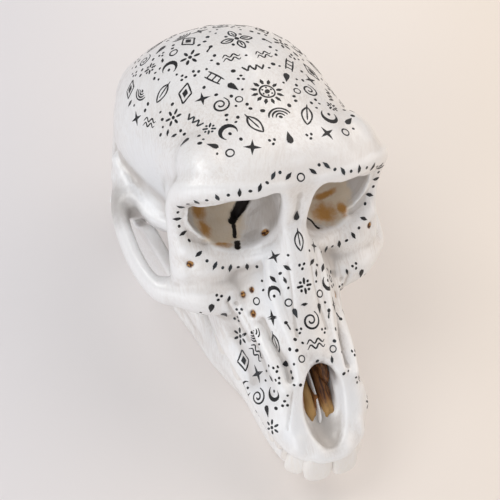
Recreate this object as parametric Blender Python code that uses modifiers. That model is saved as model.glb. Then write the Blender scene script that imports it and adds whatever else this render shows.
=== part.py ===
"""Baboon skull with its lower jaw in place, life size, resting on the base of the jaw.

Lengths in this file are millimetres and MM turns them into metres. The skull faces -Y, its left side is +X
and +Z is up. Heights are written from the level of the front biting edge, and the last step lifts the model
so that the base of the jaw stands on z = 0.
"""

import math

import bmesh
import bpy
from mathutils import Matrix, Vector

MM = 0.001

# driving sizes of the skull
FLOOR_DEPTH = 16.3  # floor below the level of the front biting edge
BRAINCASE_HALF_WIDTH = 41.8
BRAINCASE_TOP = 87.3
BRAINCASE_BACK = 86.5
FRONT_Y = -82.5
ORBIT_CENTRE = (19.9, -8.5, 60.0)
ORBIT_HALF = (15.1, 12.6)  # half width and half height of the rim
ORBIT_DEPTH = 36.0
ARCH_THICK = 3.1  # half thickness of the cheek arch, side to side
ARCH_DEEP = 4.6  # half of its height
CUT_GAP = 0.3  # gap between neighbouring nodes

# surface making: size of the voxels that melt the forms together, and the share of faces kept
VOXEL = 1.25
KEEP_CRANIUM = 0.05
KEEP_JAW = 0.056

# where the cranium is parted, along its own sutures
FRONTAL_CUT_Y = 10.0  # braincase from face
BROW_CUT_Z = 63.0  # brow from cheekbones and muzzle
CHEEK_CUT_X = 27.0  # cheekbone from muzzle
ARCH_CUT = (39.5, 30.0, 40.0)  # arch from the braincase: inner side, back end and top of the arch's own room
FAR = 120.0

# braincase sections: y, half width, top, height of the widest place, bottom
BRAINCASE_SECTIONS = (
    (-9.8, 22.0, 79.6, 77, 74),
    (-6.5, 33.6, 83.2, 74, 66),
    (0, 35.8, 85.8, 70, 44),
    (8, 36.6, 87.0, 68, 32),
    (18, 37.8, 87.4, 63, 22),
    (32, 40.2, BRAINCASE_TOP, 54, 14),
    (46, BRAINCASE_HALF_WIDTH, 87.0, 47, 10.5),
    (58, 39.8, 83.6, 45, 11),
    (69, 35.0, 75.8, 45, 15.5),
    (77.5, 27.5, 66.5, 46, 23),
    (83.5, 17.0, 57.0, 47, 34),
    (BRAINCASE_BACK, 5.0, 51.0, 47, 44),
)

# muzzle sections: y, then the half outline from the middle of the nose down to the middle of the palate:
# nose, edge of the nasal bone, ridge, hollow of the cheek, bulge over the roots, outer and inner gum edge,
# side and middle of the palate
MUZZLE_SECTIONS = (
    (0, (0, 62), (4.5, 60), (13, 48), (21, 40), (24.5, 27), (22.5, 17.0), (15.0, 17.0), (9.5, 21), (0, 23)),
    (-10, (0, 66), (4.0, 63), (12, 47), (21, 39), (25.5, 26),
     (24.2, 15.0), (15.5, 15.0), (10.0, 20), (0, 22)),
    (-20, (0, 58), (4.4, 56), (12.5, 44), (20, 34.5), (25.5, 22),
     (24.4, 13.3), (15.2, 13.3), (10.0, 18), (0, 20)),
    (-30, (0, 47.5), (5.0, 46), (13.5, 38.5), (18, 30), (24.4, 19),
     (23.8, 11.9), (14.4, 11.9), (9.5, 16.5), (0, 18)),
    (-40, (0, 39.5), (5.5, 38), (14.5, 32), (16.8, 24.5), (22.6, 16),
     (22.4, 10.4), (13.4, 10.4), (9.0, 14.5), (0, 16)),
    (-50, (0, 33.6), (7.0, 32), (14.8, 27), (16.8, 20.5), (21.4, 13.5),
     (21.3, 8.9), (12.6, 8.9), (8.5, 12.5), (0, 13.6)),
    (-58, (0, 27.5), (8.5, 26.5), (14.7, 23), (17.2, 17.5), (20.2, 12),
     (20.0, 7.8), (12.0, 7.8), (8.0, 10.6), (0, 11.4)),
    (-66, (0, 18), (9.5, 18), (14.4, 17.5), (16.8, 14), (18.4, 10),
     (18.2, 6.6), (10.5, 6.6), (7.0, 8.4), (0, 9)),
    (-73, (0, 12.4), (9.0, 12.4), (12.6, 12), (14.2, 10.5), (15.3, 8.5),
     (15.2, 5.6), (8.0, 5.6), (5.0, 6.5), (0, 7)),
    (-78, (0, 9.6), (6.0, 9.6), (8.5, 9.2), (9.8, 8.2), (10.8, 7.4),
     (10.4, 5.6), (5.0, 5.4), (3.0, 5.4), (0, 5.6)),
    (-81.5, (0, 8.4), (2.5, 8.2), (3.5, 7.9), (4.0, 7.4), (4.4, 6.9),
     (4.0, 6.2), (2.2, 6.0), (1.2, 6.0), (0, 6.0)),
)

# bars of bone as (x, y, z, radius) on the right side, mirrored to the left
BROW_BAR = (
    (0, -7.5, 76.0, 5.0), (-9, -8.2, 76.4, 4.8), (-21, -6.8, 76.6, 4.6), (-31, -3.2, 74.6, 4.8),
    (-36.6, 0.4, 70.6, 4.8), (-38.4, 1.6, 64.0, 3.9), (-38.1, 0.0, 56.0, 3.6), (-37.0, -4.4, 47.5, 4.1),
    (-35.6, -9.8, 39.0, 5.4),
)
LOWER_RIM_BAR = (
    (-36.0, -7.0, 47.5, 4.0), (-29.5, -10.5, 45.3, 3.8), (-20.5, -12.5, 43.4, 3.8),
    (-12.0, -14.5, 46.3, 3.4), (-7.0, -14.8, 52.5, 2.8), (-3.6, -13.4, 60.0, 2.5),
    (-3.0, -11.8, 67.0, 3.0), (-3.5, -9.0, 74.0, 4.0),
)
MALAR_BAR = (
    (-23, -19.0, 31, 7.0), (-31, -16.5, 31.5, 7.2), (-37.0, -13.4, 31.0, 5.9), (-42, -9.9, 29.6, 4.8),
)
ARCH_PATH = (
    (-38.5, -14.5, 29.5), (-43.3, -11.0, 29.2), (-45.8, -5.0, 29), (-47.3, 3, 29), (-47.6, 13.4, 29.2),
    (-46.8, 24, 29.8), (-45.2, 31, 30.6), (-42.0, 38.5, 31.4),
)
TEMPLE_BAR = ((-42.6, 31, 31.0, 3.8), (-40.6, 41, 32.5, 4.1), (-37.6, 52, 36.5, 3.8), (-34.6, 62, 41.5, 3.2))
NAPE_BAR = ((-34.6, 62, 41.5, 3.2), (-29, 74.0, 47, 3.2), (-17, 81.0, 50.0, 3.2), (0, 84.2, 51.0, 3.4))
TEMPLE_CREST = (
    (-42.5, 45.5, 38.0, 2.0), (-41.2, 34.5, 36.0, 2.2), (-39.6, 23.5, 35.3, 2.2), (-37.5, 18.0, 35.0, 2.2),
    (-34.5, 14.4, 35.5, 2.6), (-30, 9.5, 37.5, 3.2),
)
SKULL_BASE_BAR = ((0, 2, 29, 8.0), (0, 18, 23, 8.0), (0, 34, 18, 8.0), (0, 50, 15.5, 8.0))
JAW_CREST = (  # ridge along the upper jaw, over the roots of the cheek teeth
    (-19.2, -26.5, 30.8, 2.2), (-17.4, -33, 28.0, 2.3), (-15.9, -40, 27.4, 2.3), (-14.9, -47, 26.2, 2.2),
    (-13.8, -56, 22.8, 1.9),
)
NOSE_CREST = (  # ridge beside the nasal bones
    (-9.6, -22, 46.0, 1.8), (-9.8, -31, 39.6, 2.0), (-9.2, -38, 35.6, 2.0), (-8.2, -48, 31.0, 1.9),
    (-8.9, -56, 26.2, 1.6),
)
MUZZLE_GROOVE = (  # hollow between the two ridges, as the path of its cutter
    (-14.2, -34, 35.2, 2.3), (-13.4, -41, 33.2, 2.5), (-12.2, -47, 31.8, 2.5), (-11.4, -54, 29.2, 2.2),
)
SIDE_HOLLOW = ((-26.6, -38, 19.5), (5.6, 12.0, 6.5))  # cutter for the hollow in the side of the upper jaw
PTERYGOID_BAR = ((-10.5, -3, 25, 3.4), (-10.8, 2, 19, 2.6), (-11.2, 4, 13.0, 1.8))

# swellings as centre and half sizes, on the right side
SWELLINGS = (
    ((-17.0, -5.0, 45.5), (10.0, 8.0, 6.5)),  # floor under the eye socket
    ((-26.0, 5.5, 73.5), (11.6, 14.5, 9.6)),  # corner of the forehead
    ((-39.0, 30.0, 30.0), (8.0, 6.0, 8.0)),  # front wall of the jaw joint
    ((-16.5, 42, 17.0), (9.0, 13.0, 7.0)),  # ear capsule
    ((-31.5, 56, 21.5), (7.5, 9.5, 9.5)),  # mastoid
    ((-9.2, 62, 12.5), (4.8, 8.5, 5.0)),  # condyle for the neck
    ((-36.5, 38.5, 34.0), (9.5, 9.5, 4.6)),  # roof of the jaw joint
    ((-29.5, 27.0, 33.0), (10.5, 15.0, 9.0)),  # side wall under the temple
)

SEPTUM_OUTLINE = ((-36, 31), (-49, 29.5), (-57, 24), (-61, 17), (-62, 11), (-36, 14))  # as y and z
SEPTUM_HALF_THICK = 0.7

# upper teeth as name, centre x, centre y, half width along the row, half depth across it, crown height
UPPER_TEETH = (
    ("incisor_1", 5.2, -79.0, 4.9, 2.3, 7.6),
    ("incisor_2", 12.4, -75.2, 3.6, 2.2, 6.4),
    ("canine", 14.6, -66.4, 3.2, 2.5, 6.6),
    ("premolar_3", 14.9, -57.0, 3.6, 2.9, 6.0),
    ("premolar_4", 15.2, -49.9, 3.5, 3.3, 6.0),
    ("molar_1", 15.9, -41.5, 4.9, 3.6, 6.0),
    ("molar_2", 17.0, -31.1, 5.5, 3.9, 6.0),
    ("molar_3", 17.6, -20.2, 5.4, 3.9, 6.0),
)
LOWER_TEETH = (
    ("incisor_1", 2.7, -74.8, 2.6, 2.1, 6.4),
    ("incisor_2", 7.9, -73.0, 2.6, 2.1, 6.2),
    ("canine", 10.9, -69.2, 2.5, 2.2, 6.4),
    ("premolar_3", 13.2, -58.4, 4.2, 2.6, 5.6),
    ("premolar_4", 13.9, -50.2, 3.9, 2.8, 5.6),
    ("molar_1", 14.7, -41.6, 4.7, 3.1, 5.6),
    ("molar_2", 15.8, -31.2, 5.5, 3.5, 5.6),
    ("molar_3", 17.0, -19.4, 6.3, 3.6, 5.6),
)
BITE_BACK = 7.4  # height of the biting plane over the last molar
BITE_SLOPE = 0.145  # and its fall for each millimetre forward
LAST_MOLAR_Y = -19.0
CROWN = 6.0  # height of the upper molar crowns, from gum to biting plane
BITE_GAP = 0.5  # between upper and lower teeth

# lower jaw
JAW_BAR = (
    (-4, -67, -9.4, 5.6), (-8.0, -62, -9.6, 5.2), (-10.6, -53, -9.4, 4.9), (-11.8, -42, -8.8, 4.9),
    (-13.2, -33, -8.2, 4.9), (-15.6, -27, -7.6, 4.9), (-18.0, -20, -6.8, 5.0), (-20.4, -9, -6.2, 4.8),
    (-24.2, 3, -5.5, 4.2),
)
JAW_TOP_BAR = (
    (-3.5, -71.5, -6.2, 4.6), (-8.6, -69, -6.8, 4.5), (-12, -62, -7.4, 4.2), (-13.7, -54, -7.0, 4.1),
    (-15.0, -42, -5.6, 4.2), (-16.3, -31, -4.0, 4.5), (-18.2, -19, -2.6, 4.6), (-21.0, -8, -0.4, 4.4),
    (-24.2, -1, 3.0, 3.8),
)
JAW_BASE_BAR = (
    (0, -58, -12.4, 4.8), (-6.6, -54, -12.4, 4.7), (-9.4, -42, -12.3, 4.6), (-11.2, -33, -12.3, 4.6),
    (-13.6, -25, -12.3, 4.6), (-16.2, -15, -12.3, 4.5), (-18.4, -4, -12.2, 4.4), (-21.2, 7, -12.2, 4.2),
    (-25.0, 17, -12.1, 4.2), (-29.0, 26, -11.6, 4.1),
)
CHIN_BAR = ((0, -72.5, -4.8, 4.6), (0, -68.0, -8.4, 6.0), (0, -61.5, -11.0, 5.8))
RAMUS_OUTLINE = (  # y and z of the upright plate, from its front foot round over the coronoid and condyle
    (-9, 0), (-3, 7), (3, 13.5), (9, 19.5), (14, 24), (18, 26.4), (21.5, 25.6), (24.5, 22), (28, 18.6),
    (31.5, 18.6), (34.5, 21.5), (37.5, 24.5), (41, 23), (41, 12), (39, 3), (36.5, -5), (33, -11),
    (27, -15), (18, -15.6), (6, -14), (-3, -12), (-8, -8),
)
RAMUS_HALF_THICK = 2.6
RAMUS_FRONT_X = 21.2  # place of the plate's front foot
RAMUS_SPREAD = (0.455, -0.0048)  # how it bends outward towards the back
RAMUS_LEAN = (0.25, -0.3)  # how its upper and lower parts lean out
CONDYLE = ((-38.0, 38.4, 22.0), (7.6, 4.0, 3.5))
GONIAL_PAD = ((-28.6, 24, -12.4), (3.6, 9.0, 4.9))
CHIN_PAD = ((0, -56.5, -12.6), (8.0, 6.0, 4.8))

BONE = ("painted_bone", (0.86, 0.84, 0.81, 1.0), 0.45)
TOOTH = ("painted_teeth", (0.88, 0.86, 0.82, 1.0), 0.4)


def clear_scene():
    for obj in list(bpy.data.objects):
        bpy.data.objects.remove(obj)


def collection(name, shown=True):
    made = bpy.data.collections.new(name)
    bpy.context.scene.collection.children.link(made)
    made.hide_render = not shown
    return made


def material(name, colour, roughness):
    made = bpy.data.materials.new(name)
    made.use_nodes = True
    shader = made.node_tree.nodes["Principled BSDF"]
    shader.inputs["Base Color"].default_value = colour
    shader.inputs["Roughness"].default_value = roughness
    shader.inputs["Metallic"].default_value = 0.1
    return made


def new_object(name, mesh):
    obj = bpy.data.objects.new(name, mesh)
    bpy.context.scene.collection.objects.link(obj)
    return obj


def as_mesh_object(obj, name):
    """The object as the viewport shows it, as a plain mesh object in its place; the first is removed."""
    bpy.context.view_layer.update()
    graph = bpy.context.evaluated_depsgraph_get()
    mesh = bpy.data.meshes.new_from_object(obj.evaluated_get(graph))
    mesh.transform(obj.matrix_world)
    bpy.data.objects.remove(obj)
    form = bmesh.new()
    form.from_mesh(mesh)
    bmesh.ops.remove_doubles(form, verts=form.verts, dist=0.0005 * MM)
    bmesh.ops.recalc_face_normals(form, faces=form.faces)
    form.to_mesh(mesh)
    form.free()
    return new_object(name, mesh)


def mirrored(points):
    """The same points on the other side of the middle plane, in reverse, without those on the plane."""
    return [(-p[0], *p[1:]) for p in reversed(points) if abs(p[0]) > 1e-6]


def between(points, t):
    """The point at t, counted in steps along the list, on a smooth curve through all of the points."""
    i = min(int(t), len(points) - 2)
    u = t - i
    before = points[max(i - 1, 0)]
    after = points[min(i + 2, len(points) - 1)]
    a, b = points[i], points[i + 1]
    return tuple(
        0.5 * (2 * q + (r - p) * u + (2 * p - 5 * q + 4 * r - s) * u**2 + (3 * q - p - 3 * r + s) * u**3)
        for p, q, r, s in zip(before, a, b, after)
    )


def loft(name, sections, rings_each=3, points_each=4):
    """A closed skin over half outlines (y, (x, z), ...), each from the top middle to the bottom middle."""
    flat = [[(x, section[0], z) for x, z in section[1:]] for section in sections]
    keys = len(flat[0])
    form = bmesh.new()
    rings = []
    for step in range((len(flat) - 1) * rings_each + 1):
        t = step / rings_each
        half = [between([outline[k] for outline in flat], t) for k in range(keys)]
        count = (keys - 1) * points_each
        side = [between(half, i / points_each) for i in range(count + 1)]
        outline = side + [(-x, y, z) for x, y, z in reversed(side[1:-1])]
        rings.append([form.verts.new(Vector(p) * MM) for p in outline])
    for ring, following in zip(rings, rings[1:]):
        for i, corner in enumerate(ring):
            j = (i + 1) % len(ring)
            form.faces.new((corner, ring[j], following[j], following[i]))
    form.faces.new(reversed(rings[0]))
    form.faces.new(rings[-1])
    bmesh.ops.recalc_face_normals(form, faces=form.faces)
    mesh = bpy.data.meshes.new(name)
    form.to_mesh(mesh)
    form.free()
    return new_object(name, mesh)


def egg_outline(y, half_width, top, widest, bottom, keys=9):
    """Half outline of a braincase section: an oval, squarer towards the forehead, with unequal halves."""
    back = min(max(y, 0), 25)
    outline = []
    for i in range(keys):
        angle = math.pi / 2 - math.pi * i / (keys - 1)
        rise = (top - widest) if angle > 0 else (widest - bottom)
        lift = math.copysign(abs(math.sin(angle)) ** (0.93 + 0.005 * back), angle)
        reach = max(math.cos(angle), 0.0) ** (0.9 + 0.006 * back)
        outline.append((half_width * reach, widest + rise * lift))
    outline[0] = (0.0, top)
    outline[-1] = (0.0, bottom)
    return outline


def smooth_curve(name, points, steps=5):
    """A poly curve through a smooth line over (x, y, z, radius) points, ready for a bevel."""
    data = bpy.data.curves.new(name, "CURVE")
    data.dimensions = "3D"
    data.resolution_u = 1
    data.use_fill_caps = True
    dense = [between(points, i / steps) for i in range((len(points) - 1) * steps + 1)]
    spline = data.splines.new("POLY")
    spline.points.add(len(dense) - 1)
    for place, (x, y, z, radius) in zip(spline.points, dense):
        place.co = (x * MM, y * MM, z * MM, 1)
        place.radius = radius
    return new_object(name, data)


def bar(name, points, both_sides=True):
    """A round bar of bone of changing radius, carried across the middle if it starts there."""
    made = []
    crosses = abs(points[0][0]) < 1e-6 or abs(points[-1][0]) < 1e-6
    if crosses and abs(points[-1][0]) < 1e-6:
        whole = [list(points) + mirrored(points)]
    elif crosses:
        whole = [mirrored(points) + list(points)]
    else:
        whole = [list(points)] + ([mirrored(points)] if both_sides else [])
    if all(abs(p[0]) < 1e-6 for p in points):
        whole = [list(points)]
    for number, path in enumerate(whole):
        curve = smooth_curve(f"{name}_{number}", path)
        curve.data.bevel_depth = MM
        curve.data.bevel_resolution = 4
        made.append(as_mesh_object(curve, f"{name}_{number}"))
    for path in whole:
        for end in (path[0], path[-1]):
            made.append(ellipsoid(f"{name}_end", end[:3], (end[3],) * 3))
    return made


def ellipsoid(name, centre, half, turn=(0, 0, 0)):
    bpy.ops.mesh.primitive_uv_sphere_add(segments=24, ring_count=14, radius=1)
    obj = bpy.context.object
    obj.name = name
    place = Matrix.Translation(Vector(centre) * MM)
    tilt = Matrix.Rotation(math.radians(turn[0]), 4, "X")
    rotation = tilt @ Matrix.Rotation(math.radians(turn[2]), 4, "Z")
    obj.data.transform(place @ rotation @ Matrix.Diagonal((*[h * MM for h in half], 1)))
    return obj


def both_ellipsoids(name, centre, half, turn=(0, 0, 0)):
    x, y, z = centre
    made = [ellipsoid(name + "_r", (x, y, z), half, turn)]
    if abs(x) > 1e-6:
        made.append(ellipsoid(name + "_l", (-x, y, z), half, (turn[0], turn[1], -turn[2])))
    return made


def arch_bar(name, side):
    """The flattened bar of the cheek arch, swept with an upright oval profile."""
    profile = bpy.data.curves.new(name + "_profile", "CURVE")
    profile.dimensions = "2D"
    ring = profile.splines.new("POLY")
    ring.points.add(15)
    for i, point in enumerate(ring.points):
        angle = 2 * math.pi * i / 16
        point.co = (ARCH_THICK * MM * math.cos(angle), ARCH_DEEP * MM * math.sin(angle), 0, 1)
    ring.use_cyclic_u = True
    profile_object = new_object(name + "_profile", profile)
    path = [(side * -x, y, z, 1.0) for x, y, z in ARCH_PATH]
    curve = smooth_curve(name, path)
    curve.data.twist_mode = "Z_UP"
    curve.data.bevel_mode = "OBJECT"
    curve.data.bevel_object = profile_object
    made = as_mesh_object(curve, name)
    bpy.data.objects.remove(profile_object)
    return made


def join(name, pieces):
    """All the pieces as one mesh object; overlaps stay until melt makes one skin of them."""
    form = bmesh.new()
    for piece in pieces:
        form.from_mesh(piece.data)
        bpy.data.objects.remove(piece)
    mesh = bpy.data.meshes.new(name)
    form.to_mesh(mesh)
    form.free()
    return new_object(name, mesh)


def melt(obj, voxel, smooth_steps):
    """One closed skin over everything in the object, with the joins softened."""
    remesh = obj.modifiers.new("melt", "REMESH")
    remesh.mode = "VOXEL"
    remesh.voxel_size = voxel * MM
    soften = obj.modifiers.new("soften", "SMOOTH")
    soften.factor = 0.5
    soften.iterations = smooth_steps
    return as_mesh_object(obj, obj.name)


def boolean(obj, cutters, operation):
    """Cuts or joins whole objects one after another, and removes them afterwards."""
    for cutter in cutters:
        step = obj.modifiers.new("boolean", "BOOLEAN")
        step.operation = operation
        step.solver = "EXACT"
        step.object = cutter
        obj = as_mesh_object(obj, obj.name)
        bpy.data.objects.remove(cutter)
    return obj


def thin_out(obj, share):
    """Fewer triangles, alike on both sides of the middle plane."""
    fewer = obj.modifiers.new("fewer", "DECIMATE")
    fewer.ratio = share
    obj = as_mesh_object(obj, obj.name)
    form = bmesh.new()
    form.from_mesh(obj.data)
    bmesh.ops.symmetrize(form, input=[*form.verts, *form.edges, *form.faces], direction="-X", dist=0.08 * MM)
    bmesh.ops.recalc_face_normals(form, faces=form.faces)
    form.to_mesh(obj.data)
    form.free()
    return obj


def orbit_cutter(side):
    """The funnel of an eye socket, from a mouth in front of the rim to its narrow end far back."""
    half_w, half_h = ORBIT_HALF
    x0, y0, z0 = ORBIT_CENTRE
    steps = (  # share of the depth, share of the rim's size, shift towards the middle
        (-0.45, 1.06, -0.6), (0.0, 1.0, 0.0), (0.13, 1.06, 0.5), (0.35, 1.02, 1.8), (0.6, 0.80, 4.0),
        (0.82, 0.50, 6.2), (1.0, 0.18, 8.0),
    )
    form = bmesh.new()
    rings = []
    count = 28
    for share, size, shift in steps:
        ring = []
        for i in range(count):
            angle = 2 * math.pi * i / count
            c, s = math.cos(angle), math.sin(angle)
            power = 0.66 if s > 0 else (1.25 if c > 0 else 1.05)  # squarer above than below
            dx = half_w * size * math.copysign(abs(c) ** power, c)
            dz = half_h * size * math.copysign(abs(s) ** power, s)
            # the upper rim climbs towards the middle and falls towards the side
            climb = size * max(0.0, s) * (12.0 * max(0.0, -c) - 5.0 * max(0.0, c))
            lean = 2.0 * s * size + 3.4 * c * size  # the rim leans: its top and outer side lie further back
            ring.append((x0 - shift + dx, y0 + share * ORBIT_DEPTH + lean, z0 + dz + climb))
        rings.append([form.verts.new(Vector((side * x, y, z)) * MM) for x, y, z in ring])
    for ring, following in zip(rings, rings[1:]):
        for i, corner_vert in enumerate(ring):
            j = (i + 1) % count
            form.faces.new((corner_vert, ring[j], following[j], following[i]))
    form.faces.new(rings[0])
    form.faces.new(rings[-1])
    bmesh.ops.recalc_face_normals(form, faces=form.faces)
    mesh = bpy.data.meshes.new("orbit_cutter")
    form.to_mesh(mesh)
    form.free()
    return new_object("orbit_cutter", mesh)


def cylinder_between(name, start, end, radius):
    start, end = Vector(start) * MM, Vector(end) * MM
    way = end - start
    bpy.ops.mesh.primitive_cylinder_add(vertices=20, radius=radius * MM, depth=way.length)
    obj = bpy.context.object
    obj.name = name
    turn = way.to_track_quat("Z", "Y").to_matrix().to_4x4()
    obj.data.transform(Matrix.Translation((start + end) / 2) @ turn)
    return obj


def block(name, low, high):
    bpy.ops.mesh.primitive_cube_add(size=1)
    obj = bpy.context.object
    obj.name = name
    low, high = Vector(low) * MM, Vector(high) * MM
    obj.data.transform(Matrix.Translation((low + high) / 2) @ Matrix.Diagonal((*(high - low), 1)))
    return obj


def bite_height(y):
    """Height of the biting plane at y: it rises from the premolars to the last molar."""
    return BITE_BACK + BITE_SLOPE * (y - LAST_MOLAR_Y)


def tooth(name, centre, half, lean, yaw, taper):
    """A crown: a chamfered block that narrows towards its biting end at the bottom of the block."""
    bpy.ops.mesh.primitive_cube_add(size=2)
    obj = bpy.context.object
    obj.name = name
    for vert in obj.data.vertices:
        if vert.co.z < 0:
            vert.co.x *= taper[0]
            vert.co.y *= taper[1]
    obj.data.transform(Matrix.Diagonal((*[h * MM for h in half], 1)))
    edge = obj.modifiers.new("edge", "BEVEL")
    edge.width = 0.42 * min(half[:2]) * MM
    edge.segments = 1
    place = Matrix.Translation(Vector(centre) * MM)
    turn = Matrix.Rotation(math.radians(yaw), 4, "Z") @ Matrix.Rotation(math.radians(lean), 4, "X")
    obj = as_mesh_object(obj, name)
    obj.data.transform(place @ turn)
    return obj


def upper_teeth():
    """Both sides of the upper row; incisors lean forward and fan out round the front of the jaw."""
    made = []
    for name, x, y, half_long, half_across, crown in UPPER_TEETH:
        for side in (-1, 1):
            gum = bite_height(y) + CROWN
            if "incisor" in name:
                yaw, lean = side * (8 if name == "incisor_1" else 40), -26
                half, taper = (half_long, half_across, crown / 2 + 1.8), (0.96, 0.5)
                gum = 6.2 + crown - 7.6
            elif name == "canine":
                yaw, lean = 0, -8
                half, taper = (half_across, half_long, crown / 2 + 1.6), (0.5, 0.5)
            else:
                yaw, lean = side * 3, 0
                half, taper = (half_across, half_long, crown / 2 + 1.6), (0.9, 0.92)
            middle = gum - crown / 2 + 1.6
            made.append(tooth("upper_" + name, (side * x, y, middle), half, lean, yaw, taper))
    return made


def lower_teeth():
    """Both sides of the lower row, turned crown up, biting just under the upper row."""
    made = []
    for name, x, y, half_long, half_across, crown in LOWER_TEETH:
        for side in (-1, 1):
            if "incisor" in name or name == "canine":
                yaw, lean = side * {"incisor_1": 6, "incisor_2": 24, "canine": 50}[name], 180 + 14
                half, taper = (half_long, half_across, crown / 2 + 1.6), (0.95, 0.6)
                top = 2.2
            else:
                yaw, lean = side * 4, 180
                half, taper = (half_across, half_long, crown / 2 + 1.6), (0.9, 0.92)
                top = bite_height(y) - BITE_GAP
            made.append(tooth("lower_" + name, (side * x, y, top - half[2]), half, lean, yaw, taper))
    return made


def cranium_forms():
    """Every form that melts into the cranium."""
    eggs = [(row[0], *egg_outline(*row)) for row in BRAINCASE_SECTIONS]
    made = [loft("braincase_form", eggs), loft("muzzle_form", MUZZLE_SECTIONS)]
    made += bar("brow", BROW_BAR)
    made += bar("lower_rim", LOWER_RIM_BAR)
    made += bar("malar", MALAR_BAR)
    made += bar("temple", TEMPLE_BAR)
    made += bar("nape", NAPE_BAR)
    made += bar("temple_crest", TEMPLE_CREST)
    made += bar("jaw_crest", JAW_CREST) + bar("nose_crest", NOSE_CREST)
    made += bar("skull_base", SKULL_BASE_BAR)
    made += bar("pterygoid", PTERYGOID_BAR)
    made += [arch_bar("arch", side) for side in (1, -1)]
    made += both_ellipsoids("socket", (-20.5, 7.0, 58.5), (18.2, 18.0, 16.4))
    made += both_ellipsoids("cheek", (-26.5, -9.5, 38.0), (12.5, 8.5, 10.5))
    for number, (centre, half) in enumerate(SWELLINGS):
        made += both_ellipsoids(f"swelling_{number}", centre, half)
    return made


def cranium_cutters():
    """Hollows cut into the melted cranium."""
    made = [orbit_cutter(1), orbit_cutter(-1)]
    made += bar("groove", MUZZLE_GROOVE) + both_ellipsoids("side_hollow", *SIDE_HOLLOW)
    made.append(ellipsoid("nose_mouth", (0, -66.5, 21.5), (8.8, 9.0, 16.5), turn=(-44, 0, 0)))
    made.append(ellipsoid("nose_cave", (0, -53, 21.4), (7.2, 17.5, 6.6), turn=(-12, 0, 0)))
    made.append(ellipsoid("choana", (0, 3, 19.5), (7.0, 11.0, 4.6)))
    made.append(cylinder_between("foramen_magnum", (0, 82, -1), (0, 57, 27), 8.2))
    for side in (-1, 1):
        made.append(cylinder_between("ear_hole", (side * 50, 50, 27), (side * 30, 48, 27), 2.4))
        made.append(ellipsoid("fissure", (side * 10.5, 24, 60), (2.0, 9.0, 7.5), turn=(0, 0, side * 12)))
    return made


def plate_from(name, points, half_thick):
    """A flat plate with the outline given as (y, z) points, lying in its own X and Y for now."""
    data = bpy.data.curves.new(name, "CURVE")
    data.dimensions = "2D"
    data.fill_mode = "BOTH"
    data.extrude = half_thick * MM
    outline = data.splines.new("POLY")
    outline.points.add(len(points) - 1)
    for place, (y, z) in zip(outline.points, points):
        place.co = (y * MM, z * MM, 0, 1)
    outline.use_cyclic_u = True
    return as_mesh_object(new_object(name, data), name)


def septum():
    """The thin wall that divides the nose."""
    wall = plate_from("septum", SEPTUM_OUTLINE, SEPTUM_HALF_THICK)
    wall.data.transform(Matrix(((0, 0, 1, 0), (1, 0, 0, 0), (0, 1, 0, 0), (0, 0, 0, 1))))
    return wall


def ramus(side):
    """The upright plate of the lower jaw, cut from its outline and leaned into place."""
    closed = list(RAMUS_OUTLINE) + [RAMUS_OUTLINE[0]]
    dense = [between(closed, i / 3) for i in range(3 * (len(closed) - 1))]
    plate = plate_from("ramus", dense, RAMUS_HALF_THICK)
    for vert in plate.data.vertices:
        y, z, thick = vert.co.x / MM, vert.co.y / MM, vert.co.z / MM
        along = y - RAMUS_OUTLINE[0][0]
        x = RAMUS_FRONT_X + RAMUS_SPREAD[0] * along + RAMUS_SPREAD[1] * along**2
        x += RAMUS_LEAN[0 if z > 0 else 1] * abs(z)
        vert.co = Vector((side * (x + thick), y, z)) * MM
    form = bmesh.new()
    form.from_mesh(plate.data)
    bmesh.ops.recalc_face_normals(form, faces=form.faces)
    form.to_mesh(plate.data)
    form.free()
    return plate


def jaw_forms():
    made = bar("jaw", JAW_BAR) + bar("jaw_top", JAW_TOP_BAR)
    made += bar("jaw_base", JAW_BASE_BAR) + bar("chin", CHIN_BAR)
    made += [ramus(side) for side in (-1, 1)]
    made += both_ellipsoids("condyle", *CONDYLE)
    made += both_ellipsoids("gonial_pad", *GONIAL_PAD)
    made += both_ellipsoids("chin_pad", *CHIN_PAD)
    return made


def cut_out(whole, name, keep):
    """The part of the cranium inside the given blocks, as an object of its own."""
    piece = new_object(name, whole.data.copy())
    cell = keep[0]
    if len(keep) > 1:
        cell = boolean(cell, keep[1:], "UNION")
    piece = boolean(piece, [cell], "INTERSECT")
    return largest_surface(piece)


def largest_surface(obj):
    """Keeps only the largest closed surface of the object."""
    form = bmesh.new()
    form.from_mesh(obj.data)
    left = set(form.verts)
    groups = []
    while left:
        group, edge = set(), [left.pop()]
        while edge:
            vert = edge.pop()
            group.add(vert)
            for link in vert.link_edges:
                other = link.other_vert(vert)
                if other in left:
                    left.discard(other)
                    edge.append(other)
        groups.append(group)
    groups.sort(key=len, reverse=True)
    for group in groups[1:]:
        bmesh.ops.delete(form, geom=list(group), context="VERTS")
    form.to_mesh(obj.data)
    form.free()
    return obj


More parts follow.
